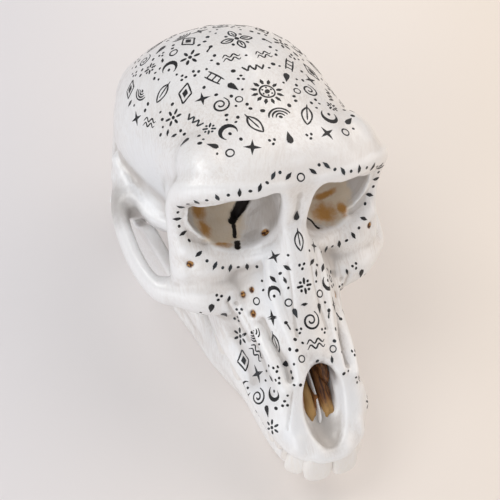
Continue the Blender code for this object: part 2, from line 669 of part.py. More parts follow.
def part_cranium(whole):
    """Parts the cranium along its sutures into braincase, brow, cheekbones and muzzle."""
    g = CUT_GAP / 2
    face_back = FRONTAL_CUT_Y - g
    arch_x, arch_y, arch_z = ARCH_CUT
    brow = [block("cell", (-FAR, -FAR, BROW_CUT_Z + g), (FAR, face_back, FAR))]
    muzzle = [block("cell", (-CHEEK_CUT_X + g, -FAR, -FAR), (CHEEK_CUT_X - g, face_back, BROW_CUT_Z - g))]
    cells = [("brow_ridge", brow), ("muzzle", muzzle)]
    for label, side in (("right", -1), ("left", 1)):
        front = side_block(side, CHEEK_CUT_X + g, -FAR, face_back, -FAR, BROW_CUT_Z - g)
        back = side_block(side, arch_x + g, face_back - 1, arch_y - g, -FAR, arch_z - g)
        cells.append((f"cheekbone_{label}", [front, back]))
    middle = block("cell", (-arch_x + g, FRONTAL_CUT_Y + g, -FAR), (arch_x - g, FAR, FAR))
    over = block("cell", (-FAR, FRONTAL_CUT_Y + g, arch_z + g), (FAR, FAR, FAR))
    rear = block("cell", (-FAR, arch_y + g, -FAR), (FAR, FAR, FAR))
    cells.append(("braincase", [middle, over, rear]))
    return {name: cut_out(whole, name, keep) for name, keep in cells}


def side_block(side, inner, y_low, y_high, z_low, z_high):
    """A block that reaches from inner outwards on one side."""
    low, high = sorted((side * inner, side * FAR))
    return block("cell", (low, y_low, z_low), (high, y_high, z_high))


def finish(obj, group, bone, shift):
    obj.data.transform(Matrix.Translation(Vector(shift) * MM))
    obj.data.materials.clear()
    obj.data.materials.append(bone)
    for owner in list(obj.users_collection):
        owner.objects.unlink(obj)
    group.objects.link(obj)
    obj.data.shade_smooth()
    obj.data.set_sharp_from_angle(angle=math.radians(40))


def main():
    clear_scene()
    skull = collection("baboon_skull")
    bone = material(*BONE)

    cranium = melt(join("cranium", cranium_forms()), VOXEL, 6)
    cranium = boolean(cranium, cranium_cutters(), "DIFFERENCE")
    cranium = melt(cranium, VOXEL, 3)
    cranium = thin_out(cranium, KEEP_CRANIUM)
    nodes = part_cranium(cranium)
    bpy.data.objects.remove(cranium)
    nodes["muzzle"] = boolean(nodes["muzzle"], [septum(), *upper_teeth()], "UNION")

    jaw = melt(join("lower_jaw", jaw_forms()), VOXEL, 6)
    jaw = thin_out(jaw, KEEP_JAW)
    jaw = boolean(jaw, lower_teeth(), "UNION")
    floor = block("floor", (-FAR, -FAR, -FAR), (FAR, FAR, -FLOOR_DEPTH))
    nodes["lower_jaw"] = boolean(jaw, [floor], "DIFFERENCE")

    middle = (BRAINCASE_BACK + FRONT_Y) / 2
    for name, obj in nodes.items():
        obj.name = name
        finish(largest_surface(obj), skull, bone, (0, -middle, FLOOR_DEPTH))


main()
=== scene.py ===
import math
import random

import bmesh
import bpy
import numpy as np
from mathutils import Matrix, Vector
from mathutils.bvhtree import BVHTree


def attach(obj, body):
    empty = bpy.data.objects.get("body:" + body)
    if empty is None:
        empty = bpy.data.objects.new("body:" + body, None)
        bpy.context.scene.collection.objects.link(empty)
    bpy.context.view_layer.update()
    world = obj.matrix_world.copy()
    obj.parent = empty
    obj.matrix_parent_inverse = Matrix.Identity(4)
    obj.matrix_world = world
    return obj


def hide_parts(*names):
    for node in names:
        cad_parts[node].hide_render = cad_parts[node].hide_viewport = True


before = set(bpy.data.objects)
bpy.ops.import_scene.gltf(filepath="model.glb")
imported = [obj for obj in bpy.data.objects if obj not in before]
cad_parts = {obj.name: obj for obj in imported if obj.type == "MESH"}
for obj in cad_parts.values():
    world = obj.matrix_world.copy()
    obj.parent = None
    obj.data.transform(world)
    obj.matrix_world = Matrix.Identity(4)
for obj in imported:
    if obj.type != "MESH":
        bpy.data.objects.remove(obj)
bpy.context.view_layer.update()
bpy.ops.object.select_all(action="DESELECT")

mm = 0.001
toShared = Vector((0, -2.0, 16.3)) * mm  # from the skull's own measures to the shared frame

cameraSetup = {
    "place": (-0.1822, -0.2468, 0.4195),
    "right": (0.908, -0.374, 0.187),
    "up": (0.197, 0.776, 0.599),
    "lens": 93.6,
}
lightSetup = {
    "worldColour": (0.93, 0.93, 0.96),
    "worldStrength": 0.38,
    # place, size, watts, colour
    "key": ((-0.62, 0.24, 0.98), 0.55, 3.7, (1.0, 0.985, 0.965)),
    "fill": ((0.95, -0.25, 0.55), 0.9, 3.3, (1.0, 0.87, 0.76)),
    "front": ((-0.75, -0.62, 0.26), 1.0, 4.6, (0.99, 0.99, 1.0)),
    "top": ((0.50, 0.42, 0.95), 0.7, 3.1, (1.0, 0.90, 0.80)),
}
floorSetup = {
    "size": 6.0,
    # painted light: the floor's colour runs from cool on one side to warm on the side of the warm fill lamp
    "tintTurn": 22,  # degrees
    "tintReach": (-0.12, 0.16),
    "roughness": 0.9,
    "specular": 0.1,
    "coolColour": (0.56, 0.552, 0.572, 1),
    "warmColour": (0.655, 0.592, 0.525, 1),
    "glow": 0.40,
    # painted pool of light on the floor, which glows brighter there: place, reach, and how much brighter
    "paintedLightPool": ((0.10, 0.20, 0.0), 0.17, 0.16),
}


def addCamera(setup):
    right = Vector(setup["right"]).normalized()
    up = Vector(setup["up"])
    up = (up - right * up.dot(right)).normalized()
    back = right.cross(up)
    bpy.ops.object.camera_add()
    camera = bpy.context.object
    camera.name = "photoCamera"
    camera.matrix_world = Matrix.Translation(setup["place"]) @ Matrix((right, up, back)).transposed().to_4x4()
    camera.data.lens = setup["lens"]
    camera.data.sensor_width = 36
    camera.data.clip_start = 0.01
    bpy.context.scene.camera = camera
    return camera


def addAreaLight(name, place, size, watts, colour):
    bpy.ops.object.light_add(type="AREA", location=place)
    lamp = bpy.context.object
    lamp.name = name
    lamp.rotation_euler = (Vector((0, 0, 0.05)) - Vector(place)).to_track_quat("-Z", "Y").to_euler()
    lamp.data.size = size
    lamp.data.energy = watts
    lamp.data.color = colour


def newMaterial(name):
    material = bpy.data.materials.new(name)
    material.use_nodes = True
    return material, material.node_tree, material.node_tree.nodes["Principled BSDF"]


def addNode(tree, kind, **settings):
    node = tree.nodes.new(kind)
    for key, value in settings.items():
        setattr(node, key, value)
    return node


def addWorld(setup):
    world = bpy.data.worlds.new("studioAir")
    bpy.context.scene.world = world
    world.use_nodes = True
    air = world.node_tree.nodes["Background"]
    air.inputs["Color"].default_value = (*setup["worldColour"], 1)
    air.inputs["Strength"].default_value = setup["worldStrength"]


def addFloor(setup):
    bpy.ops.mesh.primitive_plane_add(size=setup["size"])
    floor = bpy.context.object
    floor.name = "paleFloor"
    material, tree, shader = newMaterial("paleFloorPaint")
    place = addNode(tree, "ShaderNodeTexCoord")
    turn = addNode(tree, "ShaderNodeMapping")
    turn.inputs["Rotation"].default_value[2] = math.radians(setup["tintTurn"])
    # painted light: cool to warm across the floor, standing in for the colours of the lamps on either side
    split = addNode(tree, "ShaderNodeSeparateXYZ")
    across = addNode(tree, "ShaderNodeMapRange")
    across.inputs["From Min"].default_value, across.inputs["From Max"].default_value = setup["tintReach"]
    tint = addNode(tree, "ShaderNodeMix", data_type="RGBA")
    tint.inputs[6].default_value = setup["coolColour"]
    tint.inputs[7].default_value = setup["warmColour"]
    tree.links.new(place.outputs["Object"], turn.inputs["Vector"])
    tree.links.new(turn.outputs["Vector"], split.inputs["Vector"])
    tree.links.new(split.outputs["X"], across.inputs["Value"])
    tree.links.new(across.outputs["Result"], tint.inputs["Factor"])
    tree.links.new(tint.outputs[2], shader.inputs["Base Color"])
    tree.links.new(tint.outputs[2], shader.inputs["Emission Color"])
    # painted pool of light: the floor glows brighter near one place
    away = addNode(tree, "ShaderNodeVectorMath", operation="DISTANCE")
    away.inputs[1].default_value = setup["paintedLightPool"][0]
    glow = addNode(tree, "ShaderNodeMapRange", interpolation_type="SMOOTHSTEP")
    glow.inputs["From Max"].default_value = setup["paintedLightPool"][1]
    glow.inputs["To Min"].default_value = setup["glow"] + setup["paintedLightPool"][2]
    glow.inputs["To Max"].default_value = setup["glow"]
    tree.links.new(place.outputs["Object"], away.inputs[0])
    tree.links.new(away.outputs["Value"], glow.inputs["Value"])
    tree.links.new(glow.outputs["Result"], shader.inputs["Emission Strength"])
    shader.inputs["Roughness"].default_value = setup["roughness"]
    shader.inputs["Specular IOR Level"].default_value = setup["specular"]
    floor.data.materials.append(material)


addCamera(cameraSetup)
addWorld(lightSetup)
for lampName in ("key", "fill", "front", "top"):
    addAreaLight(lampName + "Light", *lightSetup[lampName])
addFloor(floorSetup)
bpy.context.scene.view_settings.view_transform = "Standard"
print("camera, lights and floor are in")


def only(*objects):
    bpy.ops.object.select_all(action="DESELECT")
    for obj in objects:
        obj.select_set(True)
    bpy.context.view_layer.objects.active = objects[0]


def useModifier(obj, kind, **settings):
    only(obj)
    bpy.ops.object.modifier_add(type=kind)
    step = obj.modifiers[-1]
    for key, value in settings.items():
        setattr(step, key, value)
    bpy.ops.object.modifier_apply(modifier=step.name)


def cleanMesh(obj):  # merges doubles and turns every face outwards
    only(obj)
    bpy.ops.object.mode_set(mode="EDIT")
    bpy.ops.mesh.select_all(action="SELECT")
    bpy.ops.mesh.remove_doubles(threshold=0.000002)
    bpy.ops.mesh.normals_make_consistent(inside=False)
    bpy.ops.object.mode_set(mode="OBJECT")


def joinAll(name, pieces):
    only(*pieces)
    if len(pieces) > 1:
        bpy.ops.object.join()
    made = bpy.context.object
    made.name = made.data.name = name
    return made


def between(points, t):  # a smooth line through all the points, t counts in points
    i = min(int(t), len(points) - 2)
    u = t - i
    before, after = points[max(i - 1, 0)], points[min(i + 2, len(points) - 1)]
    return tuple(
        0.5 * (2 * q + (r - p) * u + (2 * p - 5 * q + 4 * r - s) * u**2 + (3 * q - p - 3 * r + s) * u**3)
        for p, q, r, s in zip(before, points[i], points[i + 1], after)
    )


def mirrorPoint(point):
    return (-point[0], *point[1:])


def ball(centre, half, turn=(0, 0, 0), segments=32):
    bpy.ops.mesh.primitive_uv_sphere_add(
        segments=segments,
        ring_count=segments * 5 // 8,
        radius=mm,
        location=[c * mm for c in centre],
        rotation=[math.radians(a) for a in turn],
        scale=half,
    )
    bpy.ops.object.transform_apply(location=True, rotation=True, scale=True)
    return bpy.context.object


def bothBalls(centre, half, turn=(0, 0, 0)):
    made = [ball(centre, half, turn)]
    if centre[0]:
        made.append(ball(mirrorPoint(centre), half, (turn[0], -turn[1], -turn[2])))
    return made


def boneCurve(points):  # a smooth path whose points are (x, y, z, radius)
    bpy.ops.curve.primitive_bezier_curve_add()
    obj = bpy.context.object
    line = obj.data.splines[0]
    line.radius_interpolation = "CARDINAL"
    line.bezier_points.add(len(points) - 2)
    for knot, (x, y, z, radius) in zip(line.bezier_points, points):
        knot.co = (x * mm, y * mm, z * mm)
        knot.handle_left_type = knot.handle_right_type = "AUTO"
        knot.radius = radius
    obj.data.resolution_u = 8
    obj.data.use_fill_caps = True
    return obj


def boneBar(points):  # a rounded bar of bone and its mirror image, or one bar where it crosses the middle
    crossesStart, crossesEnd = abs(points[0][0]) < 1e-6, abs(points[-1][0]) < 1e-6
    if crossesStart and crossesEnd:
        paths = [points]
    elif crossesEnd:
        paths = [[*points, *[mirrorPoint(p) for p in reversed(points[:-1])]]]
    elif crossesStart:
        paths = [[*[mirrorPoint(p) for p in reversed(points[1:])], *points]]
    else:
        paths = [points, [mirrorPoint(p) for p in points]]
    made = []
    for path in paths:
        obj = boneCurve(path)
        obj.data.bevel_depth = mm
        obj.data.bevel_resolution = 5
        bpy.ops.object.convert(target="MESH")
        cleanMesh(obj)
        made.append(obj)
        made += [ball(end[:3], (end[3],) * 3) for end in (path[0], path[-1])]
    return made


def ringForm(rings):  # a round-ended form whose rings are moved into place, one after another
    segments, count = len(rings[0]), len(rings)
    bpy.ops.mesh.primitive_uv_sphere_add(segments=segments, ring_count=count + 1, radius=1)
    obj = bpy.context.object
    for vert in obj.data.vertices:
        x, y, z = vert.co
        ring = round(math.acos(max(-1.0, min(1.0, z))) / math.pi * (count + 1))
        if ring in (0, count + 1):
            outline = rings[0] if ring == 0 else rings[-1]
            vert.co = sum((Vector(p) for p in outline), Vector()) / segments * mm
        else:
            step = round(math.atan2(x, y) / (2 * math.pi) * segments) % segments
            vert.co = Vector(rings[ring - 1][step]) * mm
    cleanMesh(obj)
    return obj


def sectionForm(sections, ringsEach=4, segments=72):  # sections are (y, (x, z), ...) from top to bottom middle
    flat = [[(x, s[0], z) for x, z in s[1:]] for s in sections]
    keys = len(flat[0])
    rings = []
    for step in range((len(flat) - 1) * ringsEach + 1):
        half = [between([outline[k] for outline in flat], step / ringsEach) for k in range(keys)]
        side = [between(half, i * 2 / segments * (keys - 1)) for i in range(segments // 2 + 1)]
        rings.append(side + [mirrorPoint(p) for p in reversed(side[1:-1])])
    return ringForm(rings)


def meltTogether(obj, voxel, smoothSteps):
    useModifier(obj, "REMESH", mode="VOXEL", voxel_size=voxel * mm)
    if smoothSteps:
        useModifier(obj, "SMOOTH", factor=0.5, iterations=smoothSteps)


def cutAway(obj, cutters):
    cutter = joinAll("cutter", cutters) if len(cutters) > 1 else cutters[0]
    useModifier(obj, "BOOLEAN", operation="DIFFERENCE", solver="EXACT", object=cutter)
    bpy.data.objects.remove(cutter)


def thinTo(obj, triangles):
    now = sum(len(face.vertices) - 2 for face in obj.data.polygons)
    if now > triangles:
        useModifier(obj, "DECIMATE", ratio=triangles / now)


def keepLargest(obj):
    form = bmesh.new()
    form.from_mesh(obj.data)
    left = set(form.verts)
    groups = []
    while left:
        group, edge = set(), [left.pop()]
        while edge:
            vert = edge.pop()
            group.add(vert)
            for link in vert.link_edges:
                other = link.other_vert(vert)
                if other in left:
                    left.discard(other)
                    edge.append(other)
        groups.append(group)
    groups.sort(key=len, reverse=True)
    for group in groups[1:]:
        bmesh.ops.delete(form, geom=list(group), context="VERTS")
    form.to_mesh(obj.data)
    form.free()


def distanceToLine(places, points):  # distance of each place from a line through the points, in mm
    best = np.full(len(places), 1e9)
    if len(points) == 1:
        return np.linalg.norm(places - np.array(points[0]), axis=1)
    for a, b in zip(points, points[1:]):
        a, b = np.array(a, float), np.array(b, float)
        way = b - a
        t = np.clip((places - a) @ way / (way @ way), 0, 1)
        best = np.minimum(best, np.linalg.norm(places - a - t[:, None] * way, axis=1))
    return best


def skullPlaces(obj):
    flat = np.zeros(len(obj.data.vertices) * 3)
    obj.data.vertices.foreach_get("co", flat)
    return flat.reshape(-1, 3) / mm


def carve(obj, strokes):
    # strokes are (points, width, rise, sides): ridges where the rise is positive, grooves where it is negative
    places = skullPlaces(obj)
    normals = np.zeros(len(places) * 3)
    obj.data.vertices.foreach_get("normal", normals)
    normals = normals.reshape(-1, 3)
    move = np.zeros(len(places))
    for points, width, rise, sides in strokes:
        if len(points) > 2:
            steps = (len(points) - 1) * 4
            points = [between(points, i / 4) for i in range(steps + 1)]
        lines = [points] if sides != "left" else []
        if sides != "right":
            lines.append([mirrorPoint(p) for p in points])
        for line in lines:
            spot = np.array(line)
            low, high = spot.min(0) - 3 * width, spot.max(0) + 3 * width
            near = np.where(((places > low) & (places < high)).all(1))[0]
            away = distanceToLine(places[near], line)
            move[near] += rise * np.exp(-((away / width) ** 2))
    places = (places + normals * move[:, None]) * mm
    obj.data.vertices.foreach_set("co", places.ravel())
    obj.data.update()


def markHollows(obj, name, rounds):  # how far each place lies below the smoothed form, in mm, kept on the mesh
    places = skullPlaces(obj)
    normals = np.zeros(len(places) * 3)
    obj.data.vertices.foreach_get("normal", normals)
    ends = np.zeros(len(obj.data.edges) * 2, dtype=np.int64)
    obj.data.edges.foreach_get("vertices", ends)
    first, second, count = ends[::2], ends[1::2], len(places)
    links = np.maximum(np.bincount(first, minlength=count) + np.bincount(second, minlength=count), 1)
    soft = places.copy()
    for _ in range(rounds):
        soft = np.column_stack([
            (np.bincount(first, soft[second, k], count) + np.bincount(second, soft[first, k], count)) / links
            for k in range(3)
        ])
    depth = ((soft - places) * normals.reshape(-1, 3)).sum(1)
    obj.data.attributes.new(name, "FLOAT", "POINT").data.foreach_set("value", depth.astype(np.float32))


def finishPiece(obj, name, material, nodes, angle=None):
    only(obj)
    obj.name = obj.data.name = name
    obj.data.materials.clear()
    obj.data.materials.append(material)
    if angle is None:
        bpy.ops.object.shade_smooth()
    else:
        bpy.ops.object.shade_smooth_by_angle(angle=math.radians(angle))
    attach(obj, "root")
    if nodes:
        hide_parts(*nodes)


def toSharedFrame(obj):
    only(obj)
    obj.location = toShared
    bpy.ops.object.transform_apply(location=True, rotation=True, scale=True)


# cranium, in millimetres of the skull's own frame: x to its left, y backwards, z up
braincase = {
    # y, half width, top, height of the widest place, bottom
    "sections": (
        (-9.8, 22.0, 79.6, 77, 74),
        (-6.5, 33.6, 83.2, 74, 66),
        (0, 35.8, 85.8, 70, 44),
        (8, 36.6, 87.0, 68, 32),
        (18, 37.8, 87.4, 63, 22),
        (32, 40.2, 87.3, 54, 14),
        (46, 41.8, 87.0, 47, 10.5),
        (58, 39.8, 83.6, 45, 11),
        (69, 35.0, 75.8, 45, 15.5),
        (77.5, 27.5, 66.5, 46, 23),
        (83.5, 17.0, 57.0, 47, 34),
        (86.5, 5.0, 51.0, 47, 44),
    ),
}
muzzle = {
    # y, then the half outline from the middle of the nose down to the middle of the palate
    "sections": (
        (0, (0, 62), (4.5, 60), (13, 48), (21, 40), (24.5, 27), (22.5, 17.0), (15.0, 17.0), (9.5, 21), (0, 23)),
        (-10, (0, 66), (4.0, 63), (12, 47), (21, 39), (25.5, 26), (24.2, 15.0), (15.5, 15.0),
         (10.0, 20), (0, 22)),
        (-20, (0, 58), (4.4, 56), (12.5, 44), (20, 34.5), (25.5, 22), (24.4, 13.3), (15.2, 13.3),
         (10, 18), (0, 20)),
        (-30, (0, 47.5), (5, 46), (13.5, 38.5), (18, 30), (24.4, 19), (23.8, 11.9), (14.4, 11.9),
         (9.5, 16.5), (0, 18)),
        (-40, (0, 39.5), (5.5, 38), (14.5, 32), (16.8, 24.5), (22.6, 16), (22.4, 10.4), (13.4, 10.4),
         (9, 14.5), (0, 16)),
        (-50, (0, 33.6), (7, 32), (14.8, 27), (16.8, 20.5), (21.4, 13.5), (21.3, 8.9), (12.6, 8.9),
         (8.5, 12.5), (0, 13.6)),
        (-58, (0, 27.5), (8.5, 26.5), (14.7, 23), (17.2, 17.5), (20.2, 12), (20.0, 7.8), (12, 7.8),
         (8, 10.6), (0, 11.4)),
        (-66, (0, 18), (9.5, 18), (14.4, 17.5), (16.8, 14), (18.4, 10), (18.2, 6.6), (10.5, 6.6),
         (7.0, 8.4), (0, 9)),
        (-73, (0, 12.4), (9, 12.4), (12.6, 12), (14.2, 10.5), (15.3, 8.5), (15.2, 5.6), (8.0, 5.6),
         (5.0, 6.5), (0, 7)),
        (-78, (0, 9.6), (6.0, 9.6), (8.5, 9.2), (9.8, 8.2), (10.8, 7.4), (10.4, 5.6), (5.0, 5.4),
         (3.0, 5.4), (0, 5.6)),
        (-81.5, (0, 8.4), (2.5, 8.2), (3.5, 7.9), (4.0, 7.4), (4.4, 6.9), (4.0, 6.2), (2.2, 6.0),
         (1.2, 6), (0, 6.0)),
    ),
}
faceBars = {
    "brow": (
        (0, -7.5, 76.0, 5.0), (-9, -8.2, 76.4, 4.8), (-21, -6.8, 76.6, 4.6), (-31, -3.2, 74.6, 4.8),
        (-36.6, 0.4, 70.6, 4.8), (-38.4, 1.6, 64.0, 3.9), (-38.1, 0.0, 56.0, 3.6), (-37.0, -4.4, 47.5, 4.1),
        (-35.6, -9.8, 39.0, 5.4),
    ),
    "lowerRim": (
        (-36.0, -7.0, 47.5, 4.0), (-29.5, -10.5, 45.3, 3.8), (-20.5, -12.5, 43.4, 3.8),
         (-12.0, -14.5, 46.3, 3.4),
        (-7.0, -14.8, 52.5, 2.8), (-3.6, -13.4, 60.0, 2.5), (-3.0, -11.8, 67.0, 3.0), (-3.5, -9.0, 74.0, 4.0),
    ),
    "cheek": ((-23, -19.0, 31, 7.0), (-31, -16.5, 31.5, 7.2), (-37.0, -13.4, 31.0, 5.9), (-42, -9.9, 29.6, 4.8)),
    "templeRoot": ((-42.6, 31, 31.0, 3.8), (-40.6, 41, 32.5, 4.1), (-37.6, 52, 36.5, 3.8), (-34.6, 62, 41.5, 3.2)),
    "nape": ((-34.6, 62, 41.5, 3.2), (-29, 74.0, 47, 3.2), (-17, 81.0, 50.0, 3.2), (0, 84.2, 51.0, 3.4)),
    "templeCrest": (
        (-42.5, 45.5, 38.0, 2.0), (-41.2, 34.5, 36.0, 2.2), (-39.6, 23.5, 35.3, 2.2), (-37.5, 18.0, 35.0, 2.2),
        (-34.5, 14.4, 35.5, 2.6), (-30, 9.5, 37.5, 3.2),
    ),
    "skullBase": ((0, 2, 29, 8.0), (0, 18, 23, 8.0), (0, 34, 18, 8.0), (0, 50, 15.5, 8.0)),
    "wing": ((-10.5, -3, 25, 3.4), (-10.8, 2, 19, 2.6), (-11.2, 4, 13.0, 1.8)),
}
cheekArch = {
    "path": (
        (-38.5, -14.5, 29.5), (-43.3, -11.0, 29.2), (-45.8, -5.0, 29), (-47.3, 3, 29), (-47.6, 13.4, 29.2),
        (-46.8, 24, 29.8), (-45.2, 31, 30.6), (-42.0, 38.5, 31.4),
    ),
    "thick": 3.1,
    "deep": 4.6,
}
swellings = (
    ((-20.5, 7.0, 58.5), (18.2, 18.0, 16.4)),  # bone round the eye socket
    ((-17.0, -5.0, 45.5), (10.0, 8.0, 6.5)),  # floor under it
    ((-26.0, 5.5, 73.5), (11.6, 14.5, 9.6)),  # corner of the forehead
    ((-39.0, 30.0, 30.0), (8.0, 6.0, 8.0)),  # front wall of the jaw joint
    ((-26.5, -9.5, 38.0), (12.5, 8.5, 10.5)),  # front of the cheek
    ((-16.5, 42, 17.0), (9.0, 13.0, 7.0)),  # ear capsule
    ((-30.0, 55, 24.0), (7.2, 10.5, 9.5)),  # mastoid
    ((-9.2, 62, 12.5), (4.8, 8.5, 5.0)),  # condyle for the neck
    ((-36.5, 38.5, 34.0), (9.5, 9.5, 4.6)),  # roof of the jaw joint
    ((-29.5, 27.0, 33.0), (10.5, 15.0, 9.0)),  # side wall under the temple
)
eyeSocket = {
    "centre": (19.9, -8.5, 60.0),
    "half": (15.1, 12.6),
    "depth": 36.0,
    "lip": (-0.02, 1.07, 0.0, 1.5, 0.6),  # share of the depth, size and shift of its ring, then width and rise
    # share of the depth, share of the rim's size, shift towards the middle
    "steps": (
        (-0.45, 1.06, -0.6), (0, 1.0, 0), (0.13, 1.06, 0.5), (0.35, 1.02, 1.8), (0.6, 0.80, 4.0),
         (0.82, 0.50, 6.2),
        (1.0, 0.18, 8.0),
    ),
}
cranium = {"coarseVoxel": 1.0, "fineVoxel": 0.62, "triangles": 190000, "carving": 1.4}
hollowRounds = {"hollow": 70, "crease": 8}  # rounds of smoothing that the bone is set against, for the painted shade in hollows and painted highlight on ridges


def eggSection(y, halfWidth, top, widest, bottom, keys=9):
    outline = []
    for i in range(keys):
        angle = math.pi / 2 - math.pi * i / (keys - 1)
        rise = (top - widest) if angle > 0 else (widest - bottom)
        lift = math.copysign(abs(math.sin(angle)) ** (0.93 + 0.005 * min(max(y, 0), 25)), angle)
        square = 0.9 + 0.006 * min(max(y, 0), 25)  # the forehead is squarer than the vault
        outline.append((halfWidth * max(math.cos(angle), 0.0) ** square, widest + rise * lift))
    outline[0], outline[-1] = (0.0, top), (0.0, bottom)
    return (y, *outline)


def archForm(side):
    points = [(side * -x, y, z, 1.0) for x, y, z in cheekArch["path"]]
    bpy.ops.curve.primitive_bezier_circle_add(radius=1)
    profile = bpy.context.object
    profile.scale = (cheekArch["thick"] * mm, cheekArch["deep"] * mm, 1)
    bpy.ops.object.transform_apply(location=True, rotation=True, scale=True)
    obj = boneCurve(points)
    obj.data.twist_mode = "Z_UP"
    obj.data.bevel_mode = "OBJECT"
    obj.data.bevel_object = profile
    bpy.ops.object.convert(target="MESH")
    cleanMesh(obj)
    bpy.data.objects.remove(profile)
    return obj


def socketRing(side, share, size, shift):
    x0, y0, z0 = eyeSocket["centre"]
    halfWide, halfHigh = eyeSocket["half"]
    ring = []
    for i in range(48):
        angle = 2 * math.pi * i / 48
        c, s = math.cos(angle), math.sin(angle)
        power = 0.66 if s > 0 else (1.25 if c > 0 else 1.05)  # squarer above than below
        dx = halfWide * size * math.copysign(abs(c) ** power, c)
        dz = halfHigh * size * math.copysign(abs(s) ** power, s)
        climb = size * s * (12.0 * max(0.0, -c) - 5.0 * max(0.0, c)) if s > 0 else 0.0  # towards the middle
        lean = 2.0 * s * size + 3.4 * c * size
        ring.append((side * (x0 - shift + dx), y0 + share * eyeSocket["depth"] + lean, z0 + dz + climb))
    return ring


def socketCutter(side):
    return ringForm([socketRing(side, *step) for step in eyeSocket["steps"]])


def tubeBetween(start, end, radius):
    a, b = Vector(start) * mm, Vector(end) * mm
    bpy.ops.mesh.primitive_cylinder_add(
        vertices=24,
        radius=radius * mm,
        depth=(b - a).length,
        location=(a + b) / 2,
        rotation=(b - a).to_track_quat("Z", "Y").to_euler(),
    )
    bpy.ops.object.transform_apply(location=True, rotation=True, scale=True)
    return bpy.context.object


# ridges and grooves of the face, on the right side; the last word says which sides get them
faceCarving = (
    # crest of the upper jaw and the hollow between it and the nose
    (((-19.6, -25.9, 32.3), (-17.7, -32.3, 29.3), (-16.1, -38, 28.8), (-15.4, -43.9, 28.2),
     (-14.7, -51.4, 26.4),
      (-13.7, -57.8, 24)), 2.4, 1.3, "both"),
    (((-14.7, -34.3, 33.3), (-13.9, -40.9, 31.4), (-12.8, -45.8, 30.3), (-11.8, -50.8, 28.9),
     (-11.4, -55.2, 27)),
     1.8, -1.7, "both"),
    (((-9.8, -20.3, 48.4), (-10.1, -27, 43.9), (-10.0, -31.5, 41), (-9.4, -37.8, 37.3), (-8.3, -44.6, 34.2),
      (-8.2, -50.4, 31.3), (-9.2, -56.8, 27.1)), 2.0, 0.9, "both"),
    # edge of the nasal bones
    (((-4.4, -24, 51.5), (-4.6, -31.6, 45.1), (-5.1, -35.5, 41.6), (-5.4, -39.7, 38.4), (-5.9, -44.2, 35.7)),
     0.7, -0.26, "both"),
    (((-11.7, -59.3, 24.2), (-13.1, -63.8, 19.9), (-14.3, -66.6, 16.7),
     (-15, -68.4, 14.6)), 0.6, -0.25, "right"),
    # hollow in the side of the upper jaw
    (((-22.5, -31, 21.5), (-22.2, -38.8, 18.5), (-21.2, -46, 15.6)), 4.6, -1.9, "both"),
    (((-21.1, -25, 34), (-18.3, -29.1, 30.7), (-17.1, -34.9, 28.5), (-16.8, -39.1, 26.2)), 0.9, -0.6, "both"),
    (((-24.2, -24.4, 35), (-20.5, -28.7, 27.1), (-18.9, -35.5, 24.8)), 0.9, -0.5, "both"),
    # root of the canine
    (((-17.4, -60.5, 17), (-18.2, -64.5, 12)), 3.4, 0.9, "both"),
    (((-5.5, -78.5, 10.5), (-5.6, -76.5, 12)), 2.6, 0.5, "both"),
    (((-12.5, -73.5, 9.5), (-11.8, -71, 12)), 2.4, 0.5, "both"),
    # openings for nerves
    (((-15.9, -29.8, 32.6),), 1.3, -1.2, "both"),
    (((-17.7, -22.8, 35.4),), 1.1, -0.9, "both"),
    (((-15.0, -23.4, 38.2),), 1.1, -0.9, "both"),
    (((-35.2, -11.3, 45.2),), 1.2, -0.9, "both"),
    (((-6.9, -10.4, 51.9),), 1.4, -1.4, "both"),
)


craniumCuts = {
    # tubes: start, end, radius
    "neckHole": ((0, 82, -1), (0, 57, 27), 8.2),
    "earHole": ((50, 50, 27), (30, 48, 27), 2.4),
    # balls: centre, half size, turn
    "throat": ((0, 3, 19.5), (7.0, 11.0, 4.6)),
    "noseOpening": ((0, -66.5, 21.5), (8.8, 9.0, 16.5), (-44, 0, 0)),
    "socketBack": ((10.5, 24, 60), (2.0, 9.0, 7.5), (0, 0, 12)),
    "noseRoom": ((0, -53, 21.4), (7.2, 17.5, 6.6), (-12, 0, 0)),
    "nosePassage": ((3.9, -54.5, 17.4), (3.2, 12.8, 3.8), (17, 0, -2)),  # beside the septum, on each side
}
socketCarving = (
    # crack in the floor of the right socket, wide at its back
    (((-8.8, 6.0, 51.5), (-10.6, 4.6, 49.9), (-12.4, 3.4, 48.6)), 1.8, -2.6, "right"),
    (((-12.4, 3.4, 48.6), (-14.6, 1.2, 47.7)), 1.2, -2.0, "right"),
    (((-14.8, -0.6, 47.5), (-15.5, -3.5, 47.3), (-16.2, -5.8, 46.9)), 0.7, -1.0, "right"),
    (((-16.3, -8.3, 46.9), (-17.5, -11.0, 47.5)), 0.9, -1.4, "right"),
    # groove in the floor of the left one
    (((11.8, -4.4, 47.6), (13.9, -6.6, 47.0), (14.6, -10.1, 48.1)), 0.8, -0.9, "right"),
)


